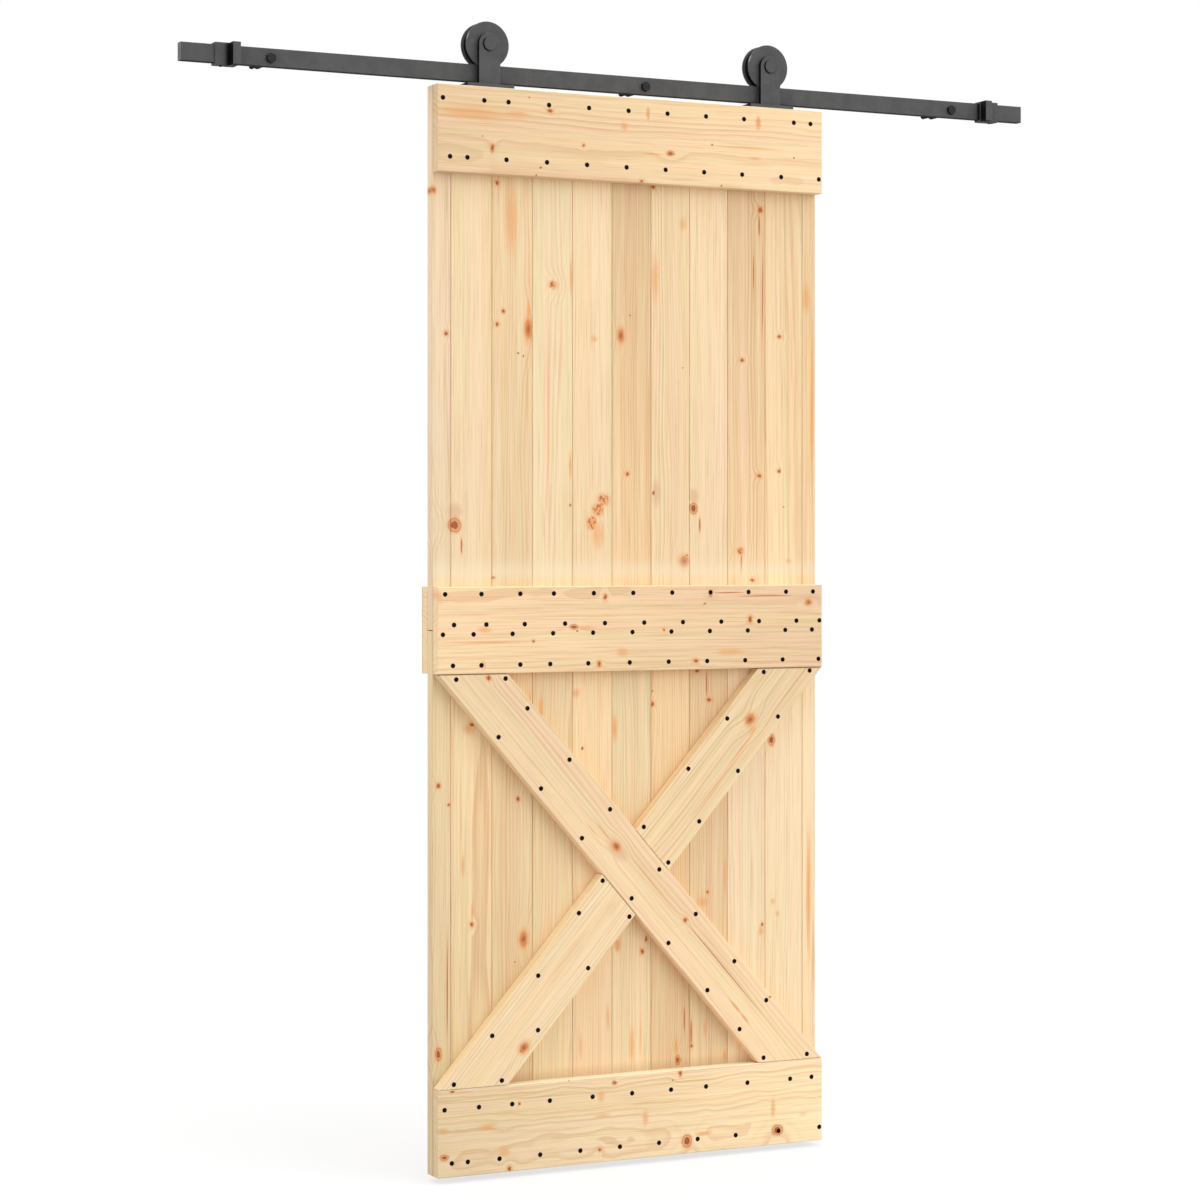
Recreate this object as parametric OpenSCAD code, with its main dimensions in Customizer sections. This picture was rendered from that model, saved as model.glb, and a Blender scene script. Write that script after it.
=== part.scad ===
// Sliding barn door on a wall track.
// Millimetres, +Z up, +X to the right, the viewer stands on the -Y side.
// The origin is on the wall's surface (Y = 0), on the axis of the middle wall bolt.

/* [Door] */
// Width of the door leaf
door_w = 850; // [760:5:950]
// Height of the door leaf
door_h = 2100; // [1950:10:2250]
// Height of the three cross rails
rail_h = 168; // [140:2:190]
// Thickness of each layer of boards
board_t = 26.5; // [22:0.5:28]
// Width of the diagonal brace boards
brace_w = 110; // [80:2:130]
// Visible width of a whole plank
plank_w = 86.8; // [85:0.2:88]
// Visible width of the first plank, ripped to fit at the left edge
first_plank_w = 38; // [25:1:45]
// Open seam between the upper and the lower planks
seam_gap = 1.8; // [0.6:0.2:4]
// Open joint between neighbouring planks and where braces meet other boards
joint_gap = 0.6; // [0.4:0.1:1.2]
// Eased edge of the boards
edge_ease = 1.2; // [0.6:0.2:2]
// Length of the tongue on each plank
tongue_l = 7; // [5:0.5:8]
// Thickness of the tongue
tongue_t = 8; // [6:0.5:10]

/* [Wood screws] */
// Diameter of the countersunk heads
screw_head_d = 9.5; // [7:0.5:10]
// Diameter of the shanks
screw_shank_d = 4; // [3.5:0.5:4.5]
// Length of the screws that hold a rail or a brace to the planks
screw_l = 36; // [32:1:38]
// Length of the screws that also reach the rear rail
long_screw_l = 66; // [60:1:72]

/* [Track] */
// Length of the track bar
bar_l = 1860; // [1800:10:2000]
// Height of the track bar
bar_h = 34; // [30:1:36]
// Thickness of the track bar
bar_t = 18; // [14:1:18]
// Length of the round spacers between the wall and the bar
spacer_l = 60; // [58:1:80]
// Diameter of the spacers
spacer_d = 19; // [17:1:24]
// Distance of the end bolts from the bar's centre
end_bolt_x = 754; // [740:2:760]
// Distance of the middle bolt to the right of the bar's centre
middle_bolt_x = 34; // [0:1:60]
// Drop of the bolt line below the bar's centre line, so that the wheels clear the heads
bolt_drop = 1.5; // [1:0.5:3]
// Shank diameter of the wall bolts
bolt_d = 10; // [8:1:10]
// Width across the flats of the wall bolts' heads
bolt_flats = 17; // [14:1:18]
// Height of the wall bolts' heads
bolt_head_h = 6; // [4:0.5:6]
// Depth that the wall bolts reach into the wall
bolt_reach = 40; // [30:1:70]

/* [Stops] */
// Distance from the bar's centre to the face of the left stop that the wheel meets
left_stop_x = 821; // [810:1:830]
// The same distance for the right stop
right_stop_x = 826; // [810:1:830]
// Length of each stop along the bar
stop_l = 43; // [38:1:50]
// Thickness of the stop's buffer block along the bar
block_l = 15; // [12:1:20]
// Reach of the buffer block in front of the bar
block_reach = 24; // [18:1:26]
// Wall of the stop above and below the bar
stop_wall = 4; // [3:0.5:5]

/* [Hangers] */
// Distance of each hanger from the door's centre
hanger_x = 311.5; // [280:0.5:330]
// Outer diameter of the wheels
wheel_d = 90; // [84:1:94]
// Radius on which the wheels roll
roll_r = 39; // [37:0.5:40]
// Overall width of the wheels
wheel_w = 30; // [28:1:32]
// Width of the hanger strap
strap_w = 45; // [38:1:50]
// Thickness of the hanger strap
strap_t = 8; // [6:0.5:9]
// Distance of the strap's face behind the front of the door
strap_setback = 11; // [8:1:14]
// Width of the hanger's foot plate
foot_w = 101; // [95:1:110]
// Depth of the foot plate
foot_d = 44; // [42:1:46]
// Thickness of the foot plate
foot_t = 7; // [5:0.5:7.5]
// Diameter of the axle bolts
axle_d = 12; // [10:1:12]
// Diameter of the axle bolts' round heads
axle_head_d = 26; // [22:1:30]

/* [Hidden] */
$fn = 48;
// Air left between a wheel and the bar under it
roll_gap = 0.3;
// Clearance on the radius of a hole around its screw or bolt
hole_gap = 0.05;
bolt_hole_gap = 0.25;
// Running clearance between a bearing and its axle, on the radius
run_gap = 0.05;
// Clearance between a stop and the bar
stop_gap = 0.1;
// Clearance of a bearing in its seat, on the radius
seat_gap = 0.02;
// Air left between the end of a spacer and the wall's surface
wall_gap = 0.1;
// The plain part of a wall bolt is thinner than its thread, which starts at the wall's surface
bolt_neck_d = bolt_d - 0.8;
plank_count = 11;
pine = [0.94, 0.83, 0.67];
dark_steel = [0.34, 0.34, 0.335];
black_steel = [0.06, 0.055, 0.05];
bright_steel = [0.62, 0.62, 0.61];

// Depths, counted from the wall towards the viewer
bar_back_y = -spacer_l;
bar_front_y = bar_back_y - bar_t;
bar_mid_y = bar_back_y - bar_t / 2;
wheel_front_y = bar_mid_y - wheel_w / 2;
strap_gap = 1.5;
strap_back_y = wheel_front_y - strap_gap;
strap_front_y = strap_back_y - strap_t;
door_front_y = strap_front_y - strap_setback;
plank_front_y = door_front_y + board_t;
plank_back_y = plank_front_y + board_t;

// Heights, counted from the bolt line
bar_top_z = bar_h / 2 + bolt_drop;
bar_bottom_z = bar_top_z - bar_h;
axle_z = bar_top_z + roll_r;
door_gap = 12;
door_top_z = bar_bottom_z - door_gap;
door_bottom_z = door_top_z - door_h;
seam_z = door_bottom_z + door_h / 2;
middle_rail_z = seam_z - rail_h / 2;
panel_z = door_bottom_z + rail_h;
panel_h = middle_rail_z - panel_z;
half_h = (door_h - seam_gap) / 2;

// Distances along the bar, counted from the middle bolt
bar_x = -middle_bolt_x;
door_x = bar_x - door_w / 2;
bolt_xs = [bar_x - end_bolt_x, 0, bar_x + end_bolt_x];
bolt_names = ["left", "middle", "right"];
side_names = ["left", "right"];
sides = [-1, 1];

// The diagonals run from corner to corner of the lower panel
brace_angle = atan(panel_h / door_w) + asin(brace_w / norm([door_w, panel_h]));
brace_cut_w = brace_w / sin(brace_angle);

// Left and right visible edge of plank i, with 1 at the left
function plank_left(i) = i == 1 ? 0 : first_plank_w + (i - 2) * plank_w;
function plank_right(i) = i == plank_count ? door_w : first_plank_w + (i - 1) * plank_w;
function two_digits(i) = str(i < 10 ? "0" : "", i);

// One row of screws across the planks, one screw to a plank, at height z. whole is where a screw
// sits across its plank, as a share of the width, and others lists the planks that differ.
function row(z, whole, others) = [
    for (i = [1:plank_count])
        let (own = [for (o = others) if (o[0] == i) o[1]])
        let (share = len(own) > 0 ? own[0] : whole)
        [plank_left(i) + share * (plank_right(i) - plank_left(i)), z]
];

top_screws = concat(
    row(door_h - 27, 0.27, [[2, 0.68], [10, 0.6], [11, 0.14]]),
    row(door_h - rail_h + 29, 0.22, [[1, 0.66], [2, 0.27], [10, 0.26], [11, 0.78]])
);
middle_screws = concat(
    row(door_h / 2 + rail_h / 2 - 14, 0.39, [[2, 0.61], [3, 0.56], [11, 0.33]]),
    row(door_h / 2 + 11, 0.67, [[1, 0.88], [2, 0.73], [11, 0.82]]),
    row(door_h / 2 - 7.5, 0.37, [[1, 0.27], [2, 0.42], [11, 0.25]]),
    row(door_h / 2 - rail_h / 2 + 16.5, 0.3, [[1, 0.82], [2, 0.61], [3, 0.56], [5, 0.25], [11, 0.75]])
);
bottom_screws = concat(
    row(rail_h - 37.5, 0.36, [[2, 0.55], [4, 0.29], [8, 0.27], [10, 0.5], [11, 0.22]]),
    row(27, 0.05, [[1, 0.76], [2, 0.28], [10, 0.19], [11, 0.81]])
);

// Screws of the braces: pairs square across the long brace, and a row along each edge of the short
// ones, given as the height in the panel and how far from the middle of the board the screw sits
long_stations = [-404, -267, -133, 32, 156, 289, 400];
long_pair_half = 41;
panel_mid = [door_w / 2, rail_h + panel_h / 2];
along = [cos(brace_angle), -sin(brace_angle)];
across = [sin(brace_angle), cos(brace_angle)];
short_left = [
    [10, 49], [98, 46], [208, 45], [325, 60], [386, 62], [488, 61], [600, 60], [698, 58], [790, 55]
];
short_right = [
    [10, 52], [102, 48], [216, 56], [312, 62], [415, 58], [494, 58], [592, 60], [699, 58], [791, 51]
];
end_screw_in = 10;
function short_mid(level) = brace_cut_w / 2 + level / tan(brace_angle);

long_brace_screws = concat(
    [for (s = long_stations, k = sides) panel_mid + s * along + k * long_pair_half * across],
    [for (x = [38, 142]) [x, rail_h + panel_h - end_screw_in]],
    [for (x = [35, 136]) [door_w - x, rail_h + end_screw_in]]
);
short_brace_screws = concat(
    [for (s = short_left) [short_mid(s[0]) - s[1], rail_h + s[0]]],
    [for (s = short_right) [short_mid(s[0]) + s[1], rail_h + s[0]]]
);
brace_screw_spots = concat(long_brace_screws, short_brace_screws);
short_screw_spots = concat(top_screws, bottom_screws, brace_screw_spots);

// Screws that go down through the hangers' feet into the top of the door
foot_screw_half = 38;
foot_screw_d = 5;
foot_screw_head_d = 9.5;
foot_screw_l = 45;
foot_front_y = strap_front_y - 8;
foot_screw_y = foot_front_y + foot_d - 7;

// The screws that clamp the stops to the underside of the bar
stop_screw_d = 5;
stop_screw_l = stop_wall + 2;
stop_screw_in = (stop_l + block_l) / 2;

// The turned parts on the axles
bearing_r = 13;
bearing_w = 20;
bush_r = 8.3;
bush_l = strap_gap + (wheel_w - bearing_w) / 2 - roll_gap;
nut_flats = 19;
nut_h = 10;
nut_front_y = bar_mid_y + bearing_w / 2 + roll_gap + bush_l;

// Puts door coordinates, with X and Z from the leaf's lower left corner, into the part's frame
module on_door() {
    translate([door_x, 0, door_bottom_z])
        children();
}

// Turns a shape whose axis is Z so that its top points at the viewer
module facing_viewer() {
    rotate([90, 0, 0])
        children();
}

// A rectangle with eased corners, from its lower left corner
module eased_section(w, h, ease) {
    polygon([
        [ease, 0], [w - ease, 0], [w, ease], [w, h - ease],
        [w - ease, h], [ease, h], [0, h - ease], [0, ease]
    ]);
}

// A level board along X with eased long edges, front at y, lower edge at z
module level_board(x, y, z, l, h) {
    translate([x, y, z])
        rotate([90, 0, 90])
            linear_extrude(l)
                eased_section(board_t, h, edge_ease);
}

// A countersunk wood screw, point towards the wall, its head's face on y = 0. Grown, it is the
// cutter of its hole, whose cone then starts in front of the wood.
module wood_screw(l, grow = 0) {
    head_h = (screw_head_d - screw_shank_d) / 2;
    tip_h = grow > 0 ? 0 : screw_shank_d * 0.9;
    front = grow > 0 ? 1 : 0;
    rotate([-90, 0, 0]) {
        translate([0, 0, -front])
            cylinder(
                h = head_h + front,
                d1 = screw_head_d + 2 * (grow + front),
                d2 = screw_shank_d + 2 * grow
            );
        cylinder(h = l - tip_h + grow, d = screw_shank_d + 2 * grow);
        if (tip_h > 0)
            translate([0, 0, l - tip_h])
                cylinder(h = tip_h, d1 = screw_shank_d, d2 = 0.4);
    }
}

// The cross recess of a screw's head
module cross_recess() {
    recess_l = screw_head_d * 0.56;
    recess_w = 1;
    recess_h = 1.2;
    for (turn = [0, 90])
        rotate([0, turn, 0])
            translate([-recess_l / 2, -recess_h, -recess_w / 2])
                cube([recess_l, 2 * recess_h, recess_w]);
}

// A group of wood screws at door coordinates
module screw_group(spots, l) {
    color(black_steel)
        on_door()
            for (s = spots)
                translate([s[0], door_front_y, s[1]])
                    difference() {
                        wood_screw(l);
                        cross_recess();
                    }
}

// Holes for those screws that pass through the given window of the door
module screw_holes(spots, l, x0, x1, z0, z1) {
    reach = screw_head_d;
    for (s = spots)
        if (s[0] > x0 - reach && s[0] < x1 + reach && s[1] > z0 - reach && s[1] < z1 + reach)
            translate([s[0], door_front_y, s[1]])
                wood_screw(l, hole_gap);
}

// All screw holes of the door in one window
module door_screw_holes(x0, x1, z0, z1) {
    screw_holes(short_screw_spots, screw_l, x0, x1, z0, z1);
    screw_holes(middle_screws, long_screw_l, x0, x1, z0, z1);
}

// Centres of the hangers along X in door coordinates
function hanger_door_x(k) = door_w / 2 + k * hanger_x;

// Holes in the top of the door for the hangers' foot screws
module foot_screw_holes() {
    for (k = sides, s = sides)
        translate([hanger_door_x(k) + s * foot_screw_half, foot_screw_y, door_h - foot_screw_l])
            cylinder(h = 2 * foot_screw_l, r = foot_screw_d / 2 + hole_gap);
}

// Section of plank i seen from above, with its tongue on the left and its groove on the right
module plank_section(i) {
    left = plank_left(i) + (i == 1 ? 0 : joint_gap / 2);
    right = plank_right(i) - (i == plank_count ? 0 : joint_gap / 2);
    tongue_y = (board_t - tongue_t) / 2;
    groove_room = 0.3;
    difference() {
        union() {
            translate([left, 0])
                eased_section(right - left, board_t, edge_ease);
            if (i > 1)
                translate([left - tongue_l, tongue_y])
                    square([tongue_l + edge_ease, tongue_t]);
        }
        if (i < plank_count)
            translate([right - tongue_l + joint_gap / 2, tongue_y - groove_room])
                square([tongue_l + 1, tongue_t + 2 * groove_room]);
    }
}

// One plank of the upper or lower half of the leaf
module plank(i, z0, h) {
    color(pine)
        on_door()
            difference() {
                translate([0, plank_front_y, z0])
                    linear_extrude(h)
                        plank_section(i);
                door_screw_holes(plank_left(i) - tongue_l, plank_right(i), z0, z0 + h);
                foot_screw_holes();
            }
}

module upper_plank(i) {
    plank(i, door_h - half_h, half_h);
}

module lower_plank(i) {
    plank(i, 0, half_h);
}

// A cross rail over the whole width of the leaf, its face at y, its lower edge at z0
module cross_rail(y, z0) {
    color(pine)
        on_door()
            difference() {
                level_board(0, y, z0, door_w, rail_h);
                door_screw_holes(0, door_w, z0, z0 + rail_h);
            }
}

module top_rail() {
    cross_rail(door_front_y, door_h - rail_h);
}

module middle_rail_front() {
    cross_rail(door_front_y, (door_h - rail_h) / 2);
}

module middle_rail_rear() {
    cross_rail(plank_back_y, (door_h - rail_h) / 2);
}

module bottom_rail() {
    cross_rail(door_front_y, 0);
}

// A diagonal board through the middle of the lower panel, grown for use as a cutter
module diagonal_board(turn, grow = 0) {
    l = door_w + panel_h;
    translate([panel_mid[0], 0, panel_mid[1]])
        rotate([0, turn, 0])
            translate([0, 0, -grow])
                level_board(-l / 2, door_front_y, -brace_w / 2, l, brace_w + 2 * grow);
}

// The room that the lower panel leaves for the braces, between its two rails
module panel_room() {
    translate([0, door_front_y - 1, rail_h + joint_gap])
        cube([door_w, board_t + 2, panel_h - 2 * joint_gap]);
}

module long_brace() {
    color(pine)
        on_door()
            difference() {
                intersection() {
                    diagonal_board(brace_angle);
                    panel_room();
                }
                screw_holes(long_brace_screws, screw_l, 0, door_w, rail_h, rail_h + panel_h);
            }
}

// Half of the crossing brace: below the long brace, or above it
module short_brace(above) {
    half_l = door_w + panel_h;
    color(pine)
        on_door()
            difference() {
                intersection() {
                    diagonal_board(-brace_angle);
                    panel_room();
                }
                translate([panel_mid[0], door_front_y - 1, panel_mid[1]])
                    rotate([0, brace_angle, 0])
                        translate([-half_l, 0, above ? -half_l : -brace_w / 2 - joint_gap])
                            cube([2 * half_l, board_t + 2, half_l + brace_w / 2 + joint_gap]);
                screw_holes(short_brace_screws, screw_l, 0, door_w, rail_h, rail_h + panel_h);
            }
}

module lower_short_brace() {
    short_brace(false);
}

module upper_short_brace() {
    short_brace(true);
}

module top_rail_screws() {
    screw_group(top_screws, screw_l);
}

module middle_rail_screws() {
    screw_group(middle_screws, long_screw_l);
}

module bottom_rail_screws() {
    screw_group(bottom_screws, screw_l);
}

module brace_screws() {
    screw_group(brace_screw_spots, screw_l);
}

// The flat bar that the wheels roll on, drilled for its bolts
module track_bar() {
    bar_ease = 0.8;
    color(dark_steel)
        difference() {
            translate([bar_x - bar_l / 2, bar_front_y, bar_bottom_z])
                rotate([90, 0, 90])
                    linear_extrude(bar_l)
                        eased_section(bar_t, bar_h, bar_ease);
            for (x = bolt_xs)
                translate([x, bar_back_y + 1, 0])
                    facing_viewer()
                        cylinder(h = bar_t + 2, r = bolt_d / 2 + bolt_hole_gap);
        }
}

// A round spacer that holds the bar off the wall
module wall_spacer(x) {
    color(dark_steel)
        translate([x, -wall_gap, 0])
            facing_viewer()
                rotate_extrude()
                    translate([bolt_d / 2 + bolt_hole_gap, 0])
                        eased_section(spacer_d / 2 - bolt_d / 2 - bolt_hole_gap, spacer_l - wall_gap, 0.6);
}

// A wall bolt: hexagon head on the bar, plain neck through the spacer, thread and point in the wall
module wall_bolt(x) {
    point_l = bolt_d * 0.8;
    color(dark_steel)
        translate([x, bolt_reach, 0])
            facing_viewer() {
                cylinder(h = point_l, d1 = 2, d2 = bolt_d);
                translate([0, 0, point_l])
                    cylinder(h = bolt_reach - point_l, d = bolt_d);
                translate([0, 0, bolt_reach])
                    cylinder(h = -bar_front_y, d = bolt_neck_d);
                translate([0, 0, bolt_reach - bar_front_y])
                    bolt_head();
            }
}

// Hexagon head with its corners turned down to a cone at the face
module bolt_head() {
    corner_d = bolt_flats / cos(30);
    turn_down = 1.6;
    intersection() {
        rotate([0, 0, 30])
            cylinder(h = bolt_head_h, d = corner_d, $fn = 6);
        cylinder(h = bolt_head_h, d1 = corner_d + 2 * (bolt_head_h - turn_down), d2 = corner_d - turn_down);
    }
}

// Distance of a stop's face from the bar's centre
function stop_at(k) = k < 0 ? left_stop_x : right_stop_x;

// Section of a stop across the bar: a saddle that hooks round the bar's back edges
module stop_section() {
    plate_t = 3;
    hook_t = 2;
    hook_h = 5;
    outer_w = plate_t + bar_t + hook_t + 2 * stop_gap;
    outer_h = bar_h + 2 * stop_wall;
    difference() {
        translate([-plate_t - stop_gap, -stop_wall])
            eased_section(outer_w, outer_h, 0.8);
        translate([-stop_gap, -stop_gap])
            square([bar_t + 2 * stop_gap, bar_h + 2 * stop_gap]);
        translate([0, hook_h])
            square([bar_t + hook_t + 2, bar_h - 2 * hook_h]);
    }
}

// A stop near one end of the bar, with its buffer block on the side of the door
module stop(k) {
    color(dark_steel)
        translate([bar_x, 0, 0])
            mirror([k < 0 ? 1 : 0, 0, 0])
                difference() {
                    union() {
                        translate([stop_at(k), bar_front_y, bar_bottom_z])
                            rotate([90, 0, 90])
                                linear_extrude(stop_l)
                                    stop_section();
                        translate([stop_at(k), bar_front_y - block_reach, bar_bottom_z - stop_wall])
                            rotate([90, 0, 90])
                                linear_extrude(block_l)
                                    eased_section(block_reach - stop_gap, bar_h + 2 * stop_wall, 0.8);
                    }
                    translate([stop_at(k) + stop_screw_in, bar_mid_y, bar_bottom_z - 2 * stop_wall])
                        cylinder(h = 2 * stop_wall, r = stop_screw_d / 2 + hole_gap);
                }
}

// The socket screw that clamps a stop to the underside of the bar
module stop_screw(k) {
    socket_flats = 2.5;
    color(black_steel)
        translate([bar_x + k * (stop_at(k) + stop_screw_in), bar_mid_y, bar_bottom_z - stop_screw_l])
            difference() {
                cylinder(h = stop_screw_l, d = stop_screw_d);
                translate([0, 0, -1])
                    cylinder(h = 3.5, d = socket_flats / cos(30), $fn = 6);
            }
}

// Centre of a hanger along X in the part's frame
function hanger_at(k) = bar_x + k * hanger_x;

// A hanger: a strap with a round top, welded to a foot plate that lies on the door
module hanger(k) {
    strap_z = door_top_z + foot_t;
    weld = 3;
    color(dark_steel)
        translate([hanger_at(k), 0, 0])
            difference() {
                union() {
                    translate([0, strap_back_y, axle_z])
                        facing_viewer()
                            cylinder(h = strap_t, d = strap_w);
                    translate([-strap_w / 2, strap_front_y, strap_z - foot_t / 2])
                        cube([strap_w, strap_t, axle_z - strap_z + foot_t / 2]);
                    translate([0, foot_front_y, door_top_z])
                        foot_plate();
                    translate([-strap_w / 2, strap_back_y, strap_z])
                        rotate([90, 0, 90])
                            linear_extrude(strap_w)
                                polygon([[-1, -1], [weld, -1], [weld, 0], [0, weld], [-1, weld]]);
                }
                translate([0, strap_back_y + 1, axle_z])
                    facing_viewer()
                        cylinder(h = strap_t + 2, r = axle_d / 2 + bolt_hole_gap);
                for (s = sides)
                    translate([s * foot_screw_half, foot_screw_y, door_top_z - 1])
                        foot_screw_hole();
            }
}

// Foot plate with rounded corners, its front edge on y = 0
module foot_plate() {
    corner_r = 5;
    linear_extrude(foot_t)
        union() {
            translate([-foot_w / 2 + corner_r, 0])
                square([foot_w - 2 * corner_r, foot_d]);
            translate([-foot_w / 2, corner_r])
                square([foot_w, foot_d - 2 * corner_r]);
            for (x = sides, y = [corner_r, foot_d - corner_r])
                translate([x * (foot_w / 2 - corner_r), y])
                    circle(r = corner_r);
        }
}

// A countersunk hole through the foot plate, from 1 below it to 1 above
module foot_screw_hole() {
    sink_h = (foot_screw_head_d - foot_screw_d) / 2;
    cylinder(h = foot_t + 2, r = foot_screw_d / 2 + hole_gap);
    translate([0, 0, 1 + foot_t - sink_h])
        cylinder(
            h = sink_h + 1,
            r1 = foot_screw_d / 2 + hole_gap,
            r2 = foot_screw_head_d / 2 + hole_gap + 1
        );
}

// The countersunk screws of both foot plates
module hanger_foot_screws() {
    sink_h = (foot_screw_head_d - foot_screw_d) / 2;
    tip_h = foot_screw_d;
    top_z = door_top_z + foot_t;
    color(black_steel)
        for (k = sides, s = sides)
            translate([hanger_at(k) + s * foot_screw_half, foot_screw_y, top_z])
                difference() {
                    rotate([180, 0, 0]) {
                        cylinder(h = sink_h, d1 = foot_screw_head_d, d2 = foot_screw_d);
                        cylinder(h = foot_screw_l - tip_h, d = foot_screw_d);
                        translate([0, 0, foot_screw_l - tip_h])
                            cylinder(h = tip_h, d1 = foot_screw_d, d2 = 0.5);
                    }
                    rotate([90, 0, 0])
                        cross_recess();
                }
}

// Puts a turned part, drawn along Z about its middle, on a wheel's axle
module on_axle(k) {
    translate([hanger_at(k), bar_mid_y, axle_z])
        facing_viewer()
            children();
}

// A grooved wheel with two flanges and a seat for its bearing
module wheel(k) {
    half_w = wheel_w / 2;
    rim_r = wheel_d / 2;
    root_r = roll_r - roll_gap;
    groove_half = bar_t / 2 + 0.6;
    flank = 1;
    ease = 1;
    seat_lip_r = bearing_r - 2;
    color(dark_steel)
        on_axle(k)
            rotate_extrude($fn = 96)
                polygon([
                    [bearing_r, -half_w], [rim_r - ease, -half_w], [rim_r, -half_w + ease],
                    [rim_r, -groove_half - flank], [root_r, -groove_half],
                    [root_r, groove_half], [rim_r, groove_half + flank],
                    [rim_r, half_w - ease], [rim_r - ease, half_w],
                    [seat_lip_r, half_w], [seat_lip_r, bearing_w / 2], [bearing_r, bearing_w / 2]
                ]);
}

// A sealed ball bearing as one ring, with its two shields set in
module bearing(k) {
    half_w = bearing_w / 2;
    shield_in = 0.6;
    color(bright_steel)
        on_axle(k)
            rotate_extrude()
                polygon([
                    [axle_d / 2 + run_gap, -half_w], [bush_r + 0.4, -half_w],
                    [bush_r + 0.4, -half_w + shield_in], [bearing_r - 1.6, -half_w + shield_in],
                    [bearing_r - 1.6, -half_w], [bearing_r - seat_gap, -half_w],
                    [bearing_r - seat_gap, half_w], [bearing_r - 1.6, half_w],
                    [bearing_r - 1.6, half_w - shield_in], [bush_r + 0.4, half_w - shield_in],
                    [bush_r + 0.4, half_w], [axle_d / 2 + run_gap, half_w]
                ]);
}

// An axle bolt with a low round head in front of the strap
module axle_bolt(k) {
    head_h = 3.5;
    head_r = axle_head_d / 2;
    shank_end = bar_mid_y - (nut_front_y + nut_h + 2.5);
    head_from = bar_mid_y - strap_front_y;
    color(dark_steel)
        on_axle(k)
            rotate_extrude()
                polygon([
                    [0, shank_end], [axle_d / 2 - 1, shank_end], [axle_d / 2, shank_end + 1],
                    [axle_d / 2, head_from], [head_r, head_from], [head_r, head_from + head_h - 1],
                    [head_r - 1, head_from + head_h], [0, head_from + head_h]
                ]);
}

// The two bushes that keep the bearing clear of the strap and of the nut
module axle_bushes(k) {
    bore_r = axle_d / 2 + hole_gap;
    from = [bearing_w / 2 + roll_gap, -bearing_w / 2 - roll_gap - bush_l];
    color(bright_steel)
        on_axle(k)
            for (z = from)
                translate([0, 0, z])
                    rotate_extrude()
                        translate([bore_r, 0])
                            square([bush_r - bore_r, bush_l]);
}

// The nut on the wall side of an axle bolt
module axle_nut(k) {
    corner_d = nut_flats / cos(30);
    color(bright_steel)
        translate([hanger_at(k), nut_front_y + nut_h, axle_z])
            facing_viewer()
                difference() {
                    intersection() {
                        cylinder(h = nut_h, d = corner_d, $fn = 6);
                        cylinder(h = nut_h, d1 = corner_d - 1.6, d2 = corner_d + 2 * nut_h);
                    }
                    translate([0, 0, -1])
                        cylinder(h = nut_h + 2, r = axle_d / 2 + hole_gap);
                }
}

for (i = [1:plank_count]) {
    upper_plank(i);
    lower_plank(i);
}
top_rail();
middle_rail_front();
middle_rail_rear();
bottom_rail();
long_brace();
lower_short_brace();
upper_short_brace();
top_rail_screws();
middle_rail_screws();
bottom_rail_screws();
brace_screws();
track_bar();
for (i = [0:2]) {
    wall_spacer(bolt_xs[i]);
    wall_bolt(bolt_xs[i]);
}
for (i = [0:1]) {
    stop(sides[i]);
    stop_screw(sides[i]);
    hanger(sides[i]);
    wheel(sides[i]);
    bearing(sides[i]);
    axle_bolt(sides[i]);
    axle_bushes(sides[i]);
    axle_nut(sides[i]);
}
hanger_foot_screws();
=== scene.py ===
import math
from collections import namedtuple

import bpy
import numpy as np
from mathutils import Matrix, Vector


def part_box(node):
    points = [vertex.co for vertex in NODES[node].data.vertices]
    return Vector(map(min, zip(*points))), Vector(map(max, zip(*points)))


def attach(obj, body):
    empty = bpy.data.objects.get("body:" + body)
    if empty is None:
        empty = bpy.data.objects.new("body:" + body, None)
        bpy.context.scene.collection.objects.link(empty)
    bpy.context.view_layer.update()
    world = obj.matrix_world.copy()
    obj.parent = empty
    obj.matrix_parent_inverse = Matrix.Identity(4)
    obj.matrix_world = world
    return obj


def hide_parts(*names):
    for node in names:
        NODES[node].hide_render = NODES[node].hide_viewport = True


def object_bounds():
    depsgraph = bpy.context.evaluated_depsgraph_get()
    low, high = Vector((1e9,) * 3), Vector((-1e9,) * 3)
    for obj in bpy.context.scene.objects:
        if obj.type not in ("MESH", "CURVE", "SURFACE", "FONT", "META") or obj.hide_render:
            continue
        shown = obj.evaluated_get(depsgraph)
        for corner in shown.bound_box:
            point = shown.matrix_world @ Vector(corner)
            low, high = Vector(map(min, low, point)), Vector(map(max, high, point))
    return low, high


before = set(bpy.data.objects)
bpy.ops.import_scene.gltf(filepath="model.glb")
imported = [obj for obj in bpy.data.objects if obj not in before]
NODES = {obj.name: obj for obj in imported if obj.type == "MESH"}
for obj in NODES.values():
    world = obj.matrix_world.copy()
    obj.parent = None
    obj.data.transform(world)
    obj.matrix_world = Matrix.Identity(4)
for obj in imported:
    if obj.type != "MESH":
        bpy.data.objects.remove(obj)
CAD_BOX = [list(corner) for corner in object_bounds()]

bl_info = {
    "name": "Sliding barn door",
    "version": (1, 0, 0),
    "blender": (4, 5, 0),
    "location": "View3D > Sidebar > Barn door",
    "description": "Finishes the boards, track and running gear of a sliding plank door",
    "category": "Object",
}

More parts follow.
